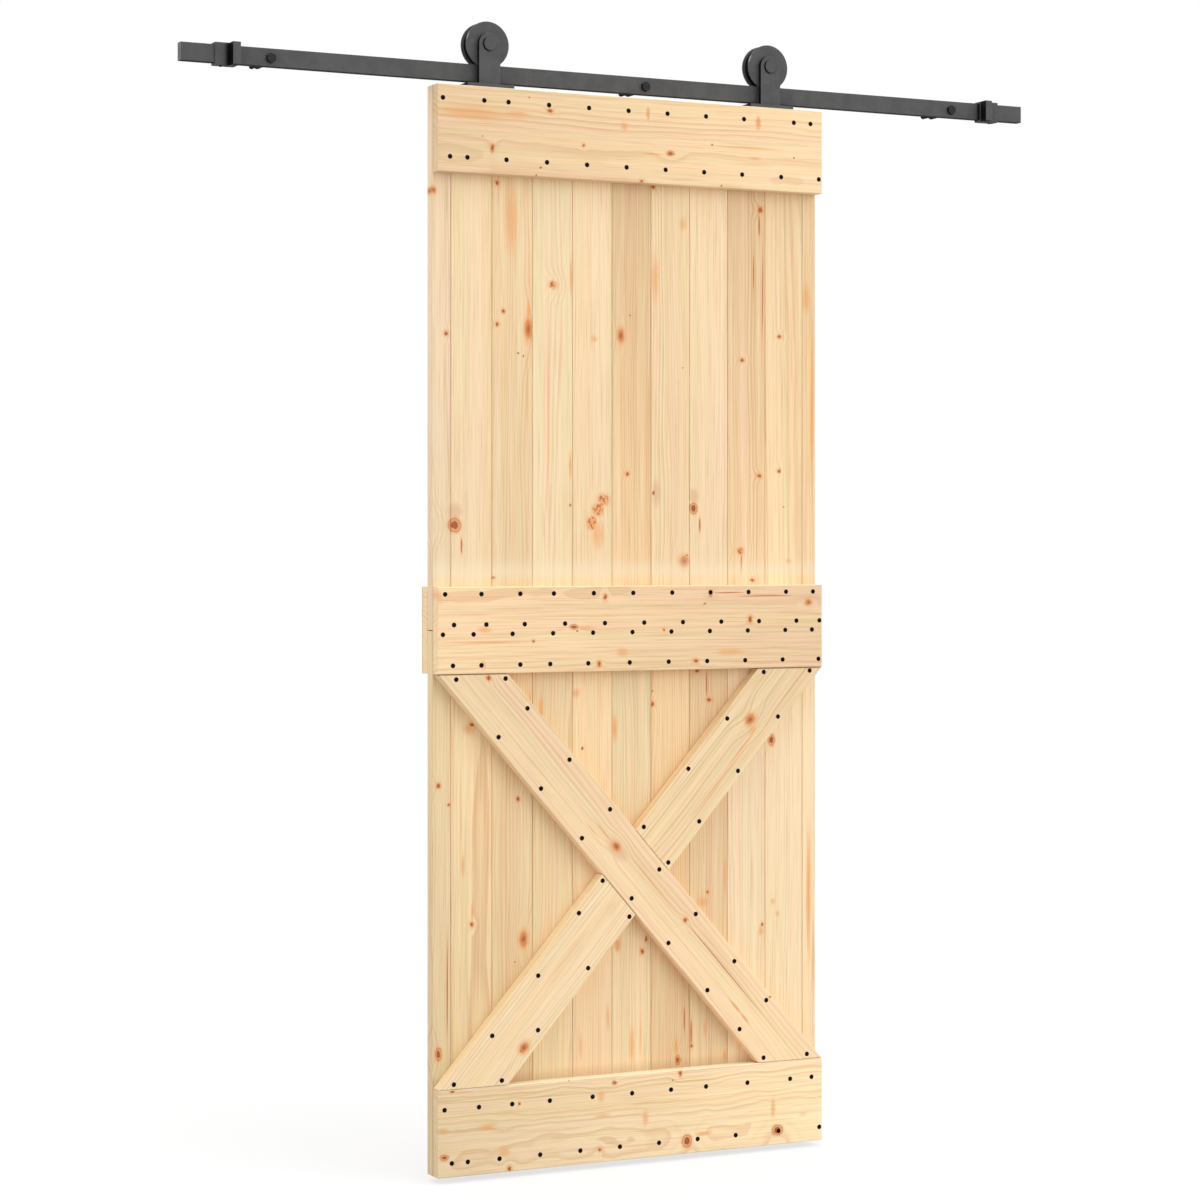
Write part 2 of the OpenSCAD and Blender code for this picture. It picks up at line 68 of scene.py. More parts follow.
SIDES = ("left", "right")
BOLT_PLACES = ("left", "middle", "right")
PLANK_COUNT = 11
UPPER_PLANKS = [f"upper_plank_{i:02d}" for i in range(1, PLANK_COUNT + 1)]
LOWER_PLANKS = [f"lower_plank_{i:02d}" for i in range(1, PLANK_COUNT + 1)]
RAILS = ["top_rail", "middle_rail_front", "middle_rail_rear", "bottom_rail"]
BRACES = ["long_brace", "upper_short_brace", "lower_short_brace"]
BOARDS = UPPER_PLANKS + LOWER_PLANKS + RAILS + BRACES
DOOR_SCREWS = ["top_rail_screws", "middle_rail_screws", "bottom_rail_screws", "brace_screws", "hanger_foot_screws"]

# The leaf's lower left corner in the frame, from which the knots are measured
LEAF_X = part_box("top_rail")[0].x
LEAF_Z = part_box("bottom_rail")[0].z
MM = 0.001
# A size so large that a direction measured in it no longer counts
FAR = 1000.0


def shown(red, green, blue):
    """The linear colour of a screen colour given as 0 to 255: the usual display curve, undone."""
    parts = np.array((red, green, blue)) / 255.0
    linear = np.where(parts <= 0.04045, parts / 12.92, ((parts + 0.055) / 1.055) ** 2.4)
    return tuple(float(v) for v in linear)


def tint(name, description, colour):
    """A colour property."""
    return bpy.props.FloatVectorProperty(
        name=name, description=description, default=colour, size=3, min=0.0, max=1.0, subtype="COLOR")


def number(name, description, default, **more):
    """A number property of 0 or more."""
    return bpy.props.FloatProperty(name=name, description=description, default=default, min=0.0, **more)


def length(name, description, metres):
    """A length property."""
    return number(name, description, metres, precision=5, unit="LENGTH", subtype="DISTANCE")


def share(name, description, default):
    """A share from 0 to 1."""
    return number(name, description, default, max=1.0, subtype="FACTOR")


class PineSettings(bpy.types.PropertyGroup):
    """Colours and grain of the boards."""
    cream: tint("Cream", "Palest sapwood", shown(249, 223, 184))
    straw: tint("Straw", "Yellowish sapwood", shown(247, 216, 169))
    tan: tint("Tan", "Darker heartwood", shown(233, 196, 149))
    rose: tint("Rose", "Pinkish wood between the rings", shown(247, 206, 172))
    moss: tint("Moss", "Faintly grey green bands", shown(232, 214, 163))
    honey: tint("Honey", "Orange streaks", shown(243, 192, 132))
    late: tint("Late wood", "Dark lines of the growth rings", shown(208, 158, 108))
    halo: tint("Round knots", "Orange wood around a knot", shown(231, 152, 74))
    stain: tint("Stain", "Pinkish brown stain by a knot", shown(218, 168, 134))
    knot: tint("Knot", "Body of a knot", shown(186, 92, 46))
    eye: tint("Knot centre", "Dark centre of a knot", shown(118, 38, 8))
    joint: tint("Joint", "Shadow in the joints of the boards", shown(120, 84, 52))
    # Pale feet: painted bounce light from the middle rail's top on the feet of the upper planks
    pale: tint("Pale feet", "Paler wood at the feet of the upper planks", shown(240, 226, 197))
    # Upper edges: painted highlight on the rails' faces that look up, standing in for light from above
    edge: tint("Upper edges", "Pale planed upper edges of the rails", shown(255, 243, 214))
    contrast: share("Ring contrast", "How dark the growth rings are", 0.62)
    fibre: share("Fibre", "How much the fine fibres show", 0.55)
    roughness: share("Roughness", "Planed, unvarnished surface", 0.58)


class HardwareSettings(bpy.types.PropertyGroup):
    """Colours of the metal."""
    coat: tint("Powder coat", "Dark grey coat on flat faces", shown(88, 88, 88))
    # Cut edges: black painted shade on the metal's faces that look to a side, up or down
    edge: tint("Cut edges", "Black edges of straps, rims and blocks", shown(6, 6, 6))
    # Rubbed rims and the palest spot: a painted highlight on the rim of each wheel's front flange, brightest at one
    # place
    rubbed: tint("Rubbed rims", "Worn edge of the wheels", shown(92, 92, 92))
    worn: tint("Worn spot", "Palest place on a wheel's edge", shown(150, 150, 150))
    bar_end: tint("Bar ends", "Sawn ends of the track bar", shown(112, 112, 112))
    bolt: tint("Bolt heads", "Darker coat of the bolt heads", shown(46, 46, 46))
    screw: tint("Screws", "Black phosphate of the wood screws", shown(22, 14, 8))
    steel: tint("Steel", "Bare steel of nuts, bushes and bearings", shown(168, 168, 166))
    roughness: share("Roughness", "Matt powder coat", 0.62)


class BoltSettings(bpy.types.PropertyGroup):
    """Sizes of the threaded wall bolts."""
    pitch: length("Thread pitch", "Distance between the turns of the thread", 0.0036)
    depth: length("Thread depth", "Height of the thread above its root", 0.0011)
    neck: length("Neck diameter", "Diameter of the plain part in the spacer", 0.0092)
    flats: length("Across flats", "Width of the hexagon head across its flats", 0.017)
    thread: length("Thread diameter", "Outer diameter of the thread", 0.010)


class StageSettings(bpy.types.PropertyGroup):
    """Camera, light and floor."""
    focal: bpy.props.FloatProperty(
        name="Focal length", description="Lens in millimetres on a 36 mm wide frame", default=88.695, min=20.0)
    turn: bpy.props.FloatProperty(
        name="Camera turn", description="How far the camera looks to the right of straight on",
        default=math.radians(26.07), subtype="ANGLE", unit="ROTATION")
    ambient: number("Soft light", "Strength of the light from all round", 0.5)
    key: number("Key light", "Strength of the light from the front, above and to the right", 2.1)
    fill: number("Fill light", "Strength of the light from the left", 1.65)
    top: number("Top light", "Strength of the light from above", 1.4)
    floor_gap: length("Floor gap", "Height of the leaf above the floor", 0.012)


class Link:
    """An output socket for use in Python expressions on values: each operator adds a Math node."""

    def __init__(self, paint, socket):
        self.paint = paint
        self.socket = socket

    def __add__(self, other):
        return self.paint.math("ADD", self, other)

    __radd__ = __add__

    def __sub__(self, other):
        return self.paint.math("SUBTRACT", self, other)

    def __rsub__(self, other):
        return self.paint.math("SUBTRACT", other, self)

    def __mul__(self, other):
        return self.paint.math("MULTIPLY", self, other)

    __rmul__ = __mul__

    def __truediv__(self, other):
        return self.paint.math("DIVIDE", self, other)


class Paint:
    """The node tree of one material or of the world."""

    def __init__(self, tree):
        self.tree = tree
        tree.nodes.clear()

    def node(self, kind, settings=None, values=None, out=0):
        """Adds a node: its settings first, then the values or links of its sockets. Gives one output."""
        made = self.tree.nodes.new(kind)
        for key, value in (settings or {}).items():
            setattr(made, key, value)
        for key, value in (values or {}).items():
            if isinstance(value, Link):
                self.tree.links.new(value.socket, made.inputs[key])
            else:
                made.inputs[key].default_value = value
        return Link(self, made.outputs[out]) if made.outputs else made

    def math(self, operation, first, second=0.0):
        return self.node("ShaderNodeMath", {"operation": operation}, {0: first, 1: second})

    def vector(self, operation, first, second=(0.0, 0.0, 0.0), out=0):
        return self.node("ShaderNodeVectorMath", {"operation": operation}, {0: first, 1: second}, out)

    def scale(self, vector, factor):
        return self.node("ShaderNodeVectorMath", {"operation": "SCALE"}, {0: vector, "Scale": factor})

    def length_of(self, vector):
        return self.vector("LENGTH", vector, out="Value")

    def part(self, vector, axis):
        return self.node("ShaderNodeSeparateXYZ", None, {0: vector}, axis)

    def here(self):
        """The place of a point in its object's own axes."""
        return self.node("ShaderNodeTexCoord", None, None, "Object")

    def facing(self):
        """The way the surface looks, in its object's own axes."""
        return self.node("ShaderNodeTexCoord", None, None, "Normal")

    def ray(self, kind):
        """1 for rays of the kind, else 0."""
        return self.node("ShaderNodeLightPath", None, None, kind)

    def place(self, vector, location, size=(1.0, 1.0, 1.0), turn=0.0):
        """The vector seen from a place, turned about Y and measured in units of size."""
        return self.node(
            "ShaderNodeMapping", {"vector_type": "TEXTURE"},
            {"Vector": vector, "Location": location, "Rotation": (0.0, turn, 0.0), "Scale": size})

    def from_axle(self, vector, axle):
        """Distance from the line that runs from front to back through axle."""
        return self.length_of(self.place(vector, axle, (1.0, FAR, 1.0)))

    def noise(self, vector, scales, detail=2.0, rough=0.5, out="Fac"):
        """Noise in space. The scales are in swings per metre."""
        stretched = self.vector("MULTIPLY", vector, scales)
        return self.node(
            "ShaderNodeTexNoise", {"noise_dimensions": "3D"},
            {"Vector": stretched, "Scale": 1.0, "Detail": detail, "Roughness": rough}, out)

    def line_noise(self, value):
        """Noise over one value."""
        return self.node("ShaderNodeTexNoise", {"noise_dimensions": "1D"}, {"W": value, "Scale": 1.0, "Detail": 2.0})

    def sway(self, vector, seen_at, scales, reach):
        """The vector moved to and fro by noise, by up to half of reach."""
        shaken = self.noise(seen_at, scales, out="Color")
        centred = self.vector("SUBTRACT", shaken, (0.5, 0.5, 0.5))
        return self.vector("ADD", vector, self.vector("MULTIPLY", centred, reach))

    def fade(self, value, start, end, top=1.0):
        """0 at start, top at end, with a soft S curve between."""
        return self.node(
            "ShaderNodeMapRange", {"interpolation_type": "SMOOTHSTEP"},
            {"Value": value, "From Min": start, "From Max": end, "To Min": 0.0, "To Max": top})

    def mix(self, amount, first, second, blend="MIX"):
        """Two colours mixed."""
        sides = {0: amount, 6: self.opaque(first), 7: self.opaque(second)}
        return self.node("ShaderNodeMix", {"data_type": "RGBA", "blend_type": blend}, sides, 2)

    @staticmethod
    def opaque(colour):
        return colour if isinstance(colour, Link) else (*colour, 1.0)

    def surface(self, colour, roughness, height, distance, strength, specular, metallic=0.0):
        """A Principled surface with a Bump from height, put into the material's output."""
        bump = self.node(
            "ShaderNodeBump", None, {"Strength": strength, "Distance": distance, "Height": height})
        shader = self.node(
            "ShaderNodeBsdfPrincipled", None,
            {"Base Color": colour, "Roughness": roughness, "Metallic": metallic,
             "Specular IOR Level": specular, "Normal": bump})
        self.node("ShaderNodeOutputMaterial", None, {"Surface": shader})


def new_material(name):
    """A material with an empty node tree, and its Paint."""
    material = bpy.data.materials.new(name)
    material.use_nodes = True
    return material, Paint(material.node_tree)


def dress(obj, material):
    """Puts one material on every slot of an object."""
    if not obj.material_slots:
        obj.data.materials.append(material)
    for slot in obj.material_slots:
        slot.material = material


# How each board looks: its two woods and the share of the second, the strength of its growth rings and honey streaks,
# the distance between rings and that of the pith to the side in mm, a number that sets where in the tree it was cut,
# its shade and warmth, and how much the shade rises for each metre up a plank or to the right on the others
Wood = namedtuple("Wood", "main second second_share rings honey ring_gap pith_side seed shade warmth rise")
WOODS = dict(zip(BOARDS, (
    # Upper planks
    ("cream", "rose", 0.5, 0.4, 0.3, 5.0, 95, 1, 0.98, -0.03, 0.06),
    ("cream", "straw", 0.8, 0.35, 0.25, 5.5, -110, 2, 0.99, 0.0, 0.07),
    ("straw", "tan", 0.4, 0.7, 0.6, 5.0, 70, 3, 1.01, -0.03, 0.13),
    ("cream", "moss", 0.5, 0.5, 0.3, 6.0, 60, 4, 1.02, -0.01, 0.0),
    ("cream", "straw", 0.5, 0.3, 0.2, 5.5, -120, 5, 0.99, 0.01, 0.08),
    ("tan", "straw", 0.4, 0.9, 0.2, 4.4, 130, 6, 0.98, 0.0, -0.24),
    ("straw", "rose", 0.6, 0.75, 0.4, 4.6, -80, 7, 1.02, -0.03, 0.0),
    ("cream", "straw", 0.6, 0.35, 0.2, 5.5, 120, 8, 1.0, 0.0, 0.06),
    ("tan", "rose", 0.5, 0.9, 0.35, 4.6, 75, 9, 1.03, -0.02, -0.21),
    ("straw", "cream", 0.4, 0.7, 0.4, 6.0, 45, 10, 1.01, 0.0, -0.16),
    ("straw", "honey", 0.45, 0.6, 0.8, 5.0, -60, 11, 1.01, -0.04, -0.14),
    # Lower planks
    ("straw", "moss", 0.6, 0.6, 0.45, 5.0, 80, 12, 0.93, -0.03, 0.16),
    ("straw", "moss", 0.4, 0.9, 0.9, 6.0, 30, 13, 0.99, -0.01, 0.2),
    ("straw", "tan", 0.6, 0.7, 0.5, 5.0, -70, 14, 0.94, 0.0, 0.2),
    ("straw", "moss", 0.5, 0.8, 0.6, 5.0, 60, 15, 0.98, -0.01, 0.0),
    ("straw", "cream", 0.6, 0.5, 0.25, 5.0, -110, 16, 0.99, 0.02, 0.09),
    ("straw", "moss", 0.5, 0.75, 0.35, 4.6, 120, 17, 1.02, -0.03, -0.06),
    ("straw", "tan", 0.6, 0.9, 0.4, 4.6, -90, 18, 0.93, 0.03, 0.2),
    ("straw", "tan", 0.7, 0.8, 0.6, 5.0, 75, 19, 0.94, -0.01, 0.0),
    ("cream", "rose", 0.4, 0.65, 0.5, 5.0, -65, 20, 1.06, -0.03, -0.1),
    ("cream", "straw", 0.4, 0.4, 0.35, 5.5, 110, 21, 1.06, -0.02, 0.0),
    ("cream", "straw", 0.6, 0.5, 0.9, 5.0, 90, 22, 1.08, -0.02, 0.0),
    # Rails
    ("straw", "rose", 0.6, 0.7, 0.4, 10.0, 60, 23, 0.99, 0.0, 0.24),
    ("straw", "rose", 0.8, 0.6, 0.4, 11.0, -70, 24, 0.99, 0.0, -0.17),
    ("cream", "straw", 0.6, 0.7, 0.4, 9.0, 80, 25, 1.0, 0.0, 0.0),
    ("straw", "cream", 0.5, 0.8, 0.45, 9.0, 50, 26, 1.04, -0.03, 0.34),
    # Braces
    ("straw", "rose", 0.8, 0.7, 0.35, 7.0, -90, 27, 1.05, -0.03, 0.14),
    ("straw", "cream", 0.5, 0.7, 0.3, 7.0, 80, 28, 0.98, -0.02, -0.19),
    ("straw", "cream", 0.6, 0.6, 0.4, 7.0, -85, 29, 1.04, -0.03, 0.06),
)))

# Knots and marks: kind, X and Z in mm from the leaf's lower left corner, and half sizes in mm along X
# and Z, or along and across the grain on the braces
KNOTS = dict(zip(BOARDS, (
    # Upper planks
    (("pin", 28, 1623, 5, 5), ("amber", 2, 1898, 5, 7), ("ring", 46, 1253, 16, 16), ("stain", 46, 1280, 14, 14)),
    (("ring", 46, 1253, 16, 16), ("stain", 46, 1280, 14, 14), ("resin", 60, 1213, 2.1, 17)),
    (("pin", 136, 1919, 4, 5), ("patch", 166, 1850, 13, 62), ("pin", 149, 1670, 4, 4), ("pin", 136, 1644, 4, 4),
     ("amber", 203, 1637, 9, 22), ("streak", 203, 1668, 4, 22), ("spot", 181, 1589, 2.6, 2.3),
     ("spot", 192, 1584, 2.6, 2.3), ("pin", 128, 1151, 4, 3)),
    (("scar", 256, 1725, 10, 8), ("streak", 294, 1742, 2.6, 37), ("streak", 294, 1370, 2.6, 26),
     ("spot", 293, 1293, 2.8, 3), ("vein", 246, 1499, 3, 235)),
    (("patch", 346, 1622, 7, 6), ("scar", 366, 1304, 13, 12), ("scar", 354, 1284, 13, 13),
     ("scar", 341, 1258, 11, 14), ("patch", 354, 1235, 13, 26), ("spot", 368, 1306, 3, 2),
     ("spot", 342, 1268, 2.4, 2)),
    (("amber", 405, 1630, 8, 15), ("pin", 419, 1356, 4, 4), ("spot", 425, 1672, 2.2, 2)),
    (("patch", 481, 1748, 7, 40), ("glow", 544, 1858, 9, 16), ("spot", 544, 1570, 1.8, 1.6),
     ("stain", 484, 1318, 9, 24), ("spot", 478, 1318, 3, 5), ("amber", 547, 1181, 12, 13),
     ("spot", 553, 1194, 3, 1.6), ("pin", 477, 1929, 4, 4)),
    (("ring", 568, 1288, 10.5, 13), ("stain", 569, 1314, 10, 14), ("resin", 581, 1255, 2.3, 16)),
    (("pin", 721, 1895, 6, 7), ("resin", 718, 1863, 2.3, 24), ("resin", 705, 1767, 1.4, 41),
     ("resin", 726, 1725, 1.4, 98), ("pin", 679, 1589, 5, 4), ("pin", 719, 1355, 5, 4), ("scar", 675, 1203, 8, 7),
     ("resin", 677, 1178, 1.6, 20), ("pin", 703, 1144, 5, 4)),
    (("pin", 765, 1639, 5, 4), ("pin", 765, 1366, 4, 4), ("spot", 775, 1292, 2.3, 2), ("patch", 786, 1182, 6, 5)),
    (("patch", 829, 1720, 8, 26), ("streak", 843, 1512, 4, 143)),
    # Lower planks
    (("pin", 12, 751, 5, 5), ("pin", 34, 713, 3, 3), ("resin", 30, 357, 1.7, 100), ("ring", 12, 234, 8, 15)),
    (("pin", 82, 867, 5, 4), ("patch", 75, 859, 11, 10), ("pin", 82, 479, 4, 5), ("streak", 83, 502, 2.5, 17),
     ("streak", 64, 594, 3, 23), ("vein", 58, 701, 2.2, 90), ("vein", 90, 700, 2.2, 110),
     ("vein", 110, 728, 2.6, 105)),
    (("pin", 180, 719, 4, 5), ("amber", 192, 445, 10, 17), ("spot", 174, 402, 2.1, 2.3),
     ("streak", 207, 902, 3, 27)),
    (("streak", 230, 892, 5, 25),),
    (("patch", 306, 923, 8, 8), ("spot", 320, 813, 3.4, 4), ("glow", 376, 278, 4, 30), ("vein", 316, 227, 3, 24)),
    (("streak", 391, 852, 5, 24), ("smear", 397, 421, 8, 13), ("pin", 452, 406, 4, 6), ("pin", 461, 430, 2.9, 6),
     ("glow", 429, 221, 7, 42), ("vein", 448, 234, 2.2, 40)),
    (("pin", 476, 898, 4, 5), ("spot", 475, 924, 2.2, 2.4), ("resin", 546, 264, 1.8, 28), ("ring", 532, 183, 7, 11),
     ("streak", 528, 210, 4, 18)),
    (("pin", 603, 903, 6, 4), ("resin", 598, 935, 1.6, 28), ("pin", 600, 516, 4, 4), ("patch", 588, 497, 11, 10),
     ("resin", 562, 235, 2, 30), ("pin", 563, 209, 3, 4), ("pin", 576, 962, 5, 4), ("streak", 639, 548, 2.8, 40),
     ("glow", 594, 243, 4, 20), ("streak", 639, 184, 4, 10)),
    (("pin", 726, 444, 3, 4), ("patch", 723, 431, 5, 10)),
    (("ring", 747, 818, 9, 14), ("patch", 750, 489, 5, 6), ("patch", 762, 464, 4, 6)),
    (("streak", 834, 508, 5, 123), ("streak", 845, 364, 2.4, 82)),
    # Rails
    (("glow", 72, 2047, 78, 16), ("glow", 165, 2050, 32, 9), ("ring", 114, 1982, 5, 10), ("pin", 237, 2062, 6, 4),
     ("pin", 310, 1999, 3, 3), ("spot", 93, 2004, 2.1, 1.9), ("spot", 193, 2085, 2.1, 1.9),
     ("spot", 217, 1950, 3, 2.3), ("spot", 207, 1935, 2.8, 2.3), ("smear", 452, 2070, 4, 13),
     ("smear", 702, 2067, 6, 14), ("spot", 596, 2017, 3, 2.8), ("streak", 672, 2015, 78, 1.4),
     ("ring", 502, 1994, 10, 6), ("streak", 461, 1991, 18, 1.6), ("patch", 694, 1995, 14, 3),
     ("spot", 785, 2001, 2.6, 2.2), ("pin", 438, 1935, 4, 2.8), ("spot", 617, 1936, 2.7, 2.4),
     ("patch", 399, 2042, 7, 8)),
    (("patch", 3, 1118, 5, 8), ("pin", 357, 1112, 4, 6), ("ring", 289, 1054, 10, 6), ("spot", 296, 1046, 2.2, 2),
     ("patch", 315, 1052, 20, 4), ("patch", 98, 1051, 13, 6), ("pin", 201, 1027, 2.8, 3),
     ("streak", 109, 1027, 80, 1.5), ("patch", 395, 1003, 11, 8), ("pin", 344, 981, 4, 6), ("patch", 95, 983, 5, 8),
     ("ring", 592, 1117, 5, 7), ("resin", 635, 1120, 37, 1.2), ("spot", 580, 1097, 3, 2.4), ("pin", 683, 1065, 5, 7),
     ("pin", 488, 1046, 2.7, 2.6), ("amber", 819, 1098, 9, 7), ("pin", 559, 983, 6, 4),
     ("resin", 720, 1112, 65, 1.2), ("patch", 637, 1000, 27, 6)),
    (("pin", 260, 1090, 6, 5), ("ring", 610, 1050, 9, 8), ("pin", 770, 1120, 5, 5)),
    (("pin", 30, 165, 5, 2.7), ("streak", 55, 161, 19, 1.5), ("pin", 171, 130, 2.8, 3), ("spot", 278, 166, 2.2, 2),
     ("ring", 377, 154, 6, 5), ("patch", 348, 130, 7, 10), ("patch", 104, 90, 18, 6), ("patch", 11, 90, 10, 6),
     ("ring", 13, 39, 10, 7), ("patch", 139, 38, 11, 8), ("pin", 150, 6, 5, 5), ("pin", 345, 25, 4, 4),
     ("patch", 351, 92, 15, 4), ("ring", 524, 161, 5, 7), ("spot", 507, 149, 2.7, 2), ("patch", 446, 79, 6, 14),
     ("ring", 539, 25, 13, 15), ("streak", 575, 37, 16, 4), ("patch", 736, 75, 5, 18), ("ring", 746, 29, 14, 12)),
    # Braces
    (("pin", 106, 958, 5, 5), ("stain", 384, 615, 27, 13), ("amber", 382, 620, 10, 8), ("streak", 353, 652, 27, 2),
     ("streak", 328, 655, 18, 1.5), ("pin", 535, 466, 5, 5), ("resin", 619, 369, 135, 1.1),
     ("streak", 457, 548, 90, 1.5), ("blush", 540, 467, 230, 24), ("streak", 649, 286, 18, 3),
     ("streak", 671, 261, 14, 2.9), ("spot", 729, 300, 3, 2.9)),
    (("amber", 683, 863, 13, 11), ("patch", 688, 841, 11, 6), ("streak", 665, 806, 45, 1.7),
     ("streak", 605, 733, 58, 1.7)),
    (("blush", 372, 499, 18, 13), ("amber", 181, 238, 13, 10), ("spot", 175, 231, 3, 2.4),
     ("blush", 292, 425, 40, 13)),
)))

# For each kind of mark: reach and strength of the orange wood round it, strength of its body, and
# strength of its dark centre
KNOT_KINDS = {
    "pin": (2.5, 0.7, 0.85, 0.65),
    "ring": (1.5, 0.8, 0.9, 0.7),
    "amber": (1.9, 0.95, 0.45, 0.5),
    "scar": (1.7, 0.85, 0.9, 0.0),
    "smear": (1.5, 0.75, 0.1, 0.0),
    "patch": (1.7, 0.55, 0.0, 0.0),
    "glow": (1.3, 0.5, 0.0, 0.0),
    "vein": (1.6, 0.4, 0.0, 0.0),
    "stain": (1.6, 0.55, 0.0, 0.0),
    "blush": (1.3, 0.16, 0.0, 0.0),
    "streak": (1.6, 0.7, 0.0, 0.0),
    "resin": (2.0, 0.6, 0.75, 0.15),
    "spot": (1.8, 0.35, 0.75, 0.85),
}
# Kinds of mark that are thin lines along the grain
LINES = ("streak", "vein", "resin")
# Kinds of mark that only tint the wood pink
PINK = ("stain", "blush")
# Kinds of mark that the growth rings run round
KNOTTY = ("pin", "ring", "amber", "scar")
# How far a knot pushes the growth rings aside, and how far away this begins, in its own half widths
RING_PUSH = 1.1
PUSH_REACH = 5.0
# How far the growth rings of the rails wave to and fro
RAIL_WAVE = 0.009
BOTTOM_RAIL_WAVE = 0.024
BRACE_WIDTH = 0.110
# How much thinner the joint lines at the braces' lower ends are
FAINT_LINE = 0.0008
# The stops' saddle in front of the bar, the length of their block along it, and the painted shadow beside the block
SADDLE_T = 0.003
BLOCK_L = 0.015
CORNER_SHADOW_REACH = 0.012
# How far the painted shadow line round an axle bolt's head is turned down, and the painted highlight spot's place in
# shares of the wheel's radius
HEAD_TILT = 0.35
HIGHLIGHT_X, HIGHLIGHT_Z = -0.94, 0.34

# Soft bands of colour: the distance where each begins, the one where it is full, and its strength if it isn't 1.
# On boards: from a brace's joint, from the rail below a plank, and from the back of a rail's end
JOINT_LINE = (0.0022, 0.0006, 0.75)
# Painted bounce light on the upper planks above the middle rail
BOUNCE_LIGHT_ABOVE = (0.062, 0.028, 0.47)
BOUNCE_LIGHT_BELOW = (0.004, 0.03)
# Painted shade on the lower planks just above the bottom rail
FOOT_SHADE = (0.026, 0.0, 0.3)
# Painted shade at the back of a rail's end, where it meets the planks
END_SHADE = (0.005, 0.001, 0.4)
# On metal: from the bar's end, a saddle's face for painted shade on a block's sides, an axle bolt's head and middle
# for a painted shadow line, and a wheel's side, rim and painted highlight spot
BAR_END = (0.0007, 0.0003)
BLOCK_FACE = (0.0002, 0.0008)
HEAD_LINE = (0.0026, 0.0012)
HEAD_LEFT = (-0.003, -0.008)
FLANGE = (0.0043, 0.0044)
GROOVE = (0.0038, 0.0058)
RIM_HIGHLIGHT = (0.0016, 0.0008)
HIGHLIGHT_FADE = (0.011, 0.002)
# On the floor: from the origin
SHADOW = (2.2, 0.8, 0.3)


def grain_turn(node):
    """Turn about Y that brings the board's Z axis onto its grain: none for planks, a quarter for rails, and the
    direction of the box's diagonal, less the board's width, for braces."""
    if node in UPPER_PLANKS + LOWER_PLANKS:
        return 0.0
    if node in RAILS:
        return math.pi / 2
    low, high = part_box("long_brace")
    wide, tall = high.x - low.x, high.z - low.z
    slope = math.atan2(tall, wide) + math.asin(BRACE_WIDTH / math.hypot(wide, tall))
    return math.pi / 2 + slope if node == "long_brace" else math.pi / 2 - slope


def knot_places(node, centre, turn):
    """Each mark as kind, place and half sizes in the board's own axes: X across the grain, Z along it."""
    cos, sin = math.cos(turn), math.sin(turn)
    on_plank = turn == 0.0
    for kind, x, z, first, second in KNOTS[node]:
        dx = LEAF_X + x * MM - centre.x
        dz = LEAF_Z + z * MM - centre.z
        across, along = (first, second) if on_plank else (second, first)
        yield kind, (dx * cos - dz * sin, 0.0, dx * sin + dz * cos), (across * MM, FAR, along * MM)


def knot_body(paint, kind, cut, away, strength):
    """The body of a knot: drawn in rings, as a scribble, or plain."""
    inside = paint.fade(away, 1.1, 0.6, strength)
    if kind == "ring":
        return inside * (paint.fade(paint.math("SINE", away * 13.0), 0.9, -0.7) * 0.8 + 0.2)
    if kind == "scar":
        return inside * paint.fade(paint.noise(cut, (170.0, 170.0, 130.0)), 0.49, 0.57)
    return inside


def mark_strengths(paint, node, centre, turn, board, cut):
    """How strongly a board's marks show: orange wood, pink stain, bodies and dark centres, and how far they push the
    growth rings aside. Marks are ellipses, ragged, or bowed with the grain where they are thin lines."""
    ragged = paint.sway(board, cut, (150.0, 150.0, 90.0), (0.005, 0.0, 0.006))
    bowed = paint.sway(board, cut, (14.0, 14.0, 3.0), (0.006, 0.0, 0.0))
    halo = stain = body = eye = push = 0.0
    for kind, place, sizes in knot_places(node, centre, turn):
        reach, rim, core, pupil = KNOT_KINDS[kind]
        away = paint.length_of(paint.place(bowed if kind in LINES else ragged, place, sizes))
        if kind in PINK:
            stain = paint.math("MAXIMUM", stain, paint.fade(away, reach, 0.4, rim))
            continue
        halo = paint.math("MAXIMUM", halo, paint.fade(away, reach, 0.2, rim))
        if kind in KNOTTY:
            pushed = RING_PUSH * min(sizes[0], sizes[2])
            push = paint.math("MAXIMUM", push, paint.fade(away, PUSH_REACH, 0.3, pushed))
        if core:
            body = paint.math("MAXIMUM", body, knot_body(paint, kind, cut, away, core))
        if pupil:
            eye = paint.math("MAXIMUM", eye, paint.fade(away, 0.55, 0.15, pupil))
    return halo, stain, body, eye, push


def growth_rings(paint, node, wood, pith, board, cut, push):
    """Dark late wood by the distance from the pith, which wanders along the grain and is pushed aside by the knots.
    Each ring darkens slowly and ends sharply, and some are fainter than others."""
    wandering = paint.sway(board, cut, (7.0, 7.0, 1.5), (0.035, 0.03, 0.0))
    if node in RAILS:
        wave = BOTTOM_RAIL_WAVE if node == "bottom_rail" else RAIL_WAVE
        wandering = paint.sway(wandering, cut, (15.0, 15.0, 9.0), (wave, wave, 0.0))
    radius = paint.length_of(paint.place(wandering, pith, (1.0, 1.0, FAR)))
    count = (radius + push) / (wood.ring_gap * MM)
    phase = paint.math("FRACT", count)
    late = paint.fade(phase, 0.3, 0.9) * paint.fade(phase, 1.0, 0.93)
    return late * paint.fade(paint.line_noise(count * 0.31 + wood.seed * 7.3), 0.3, 0.72)


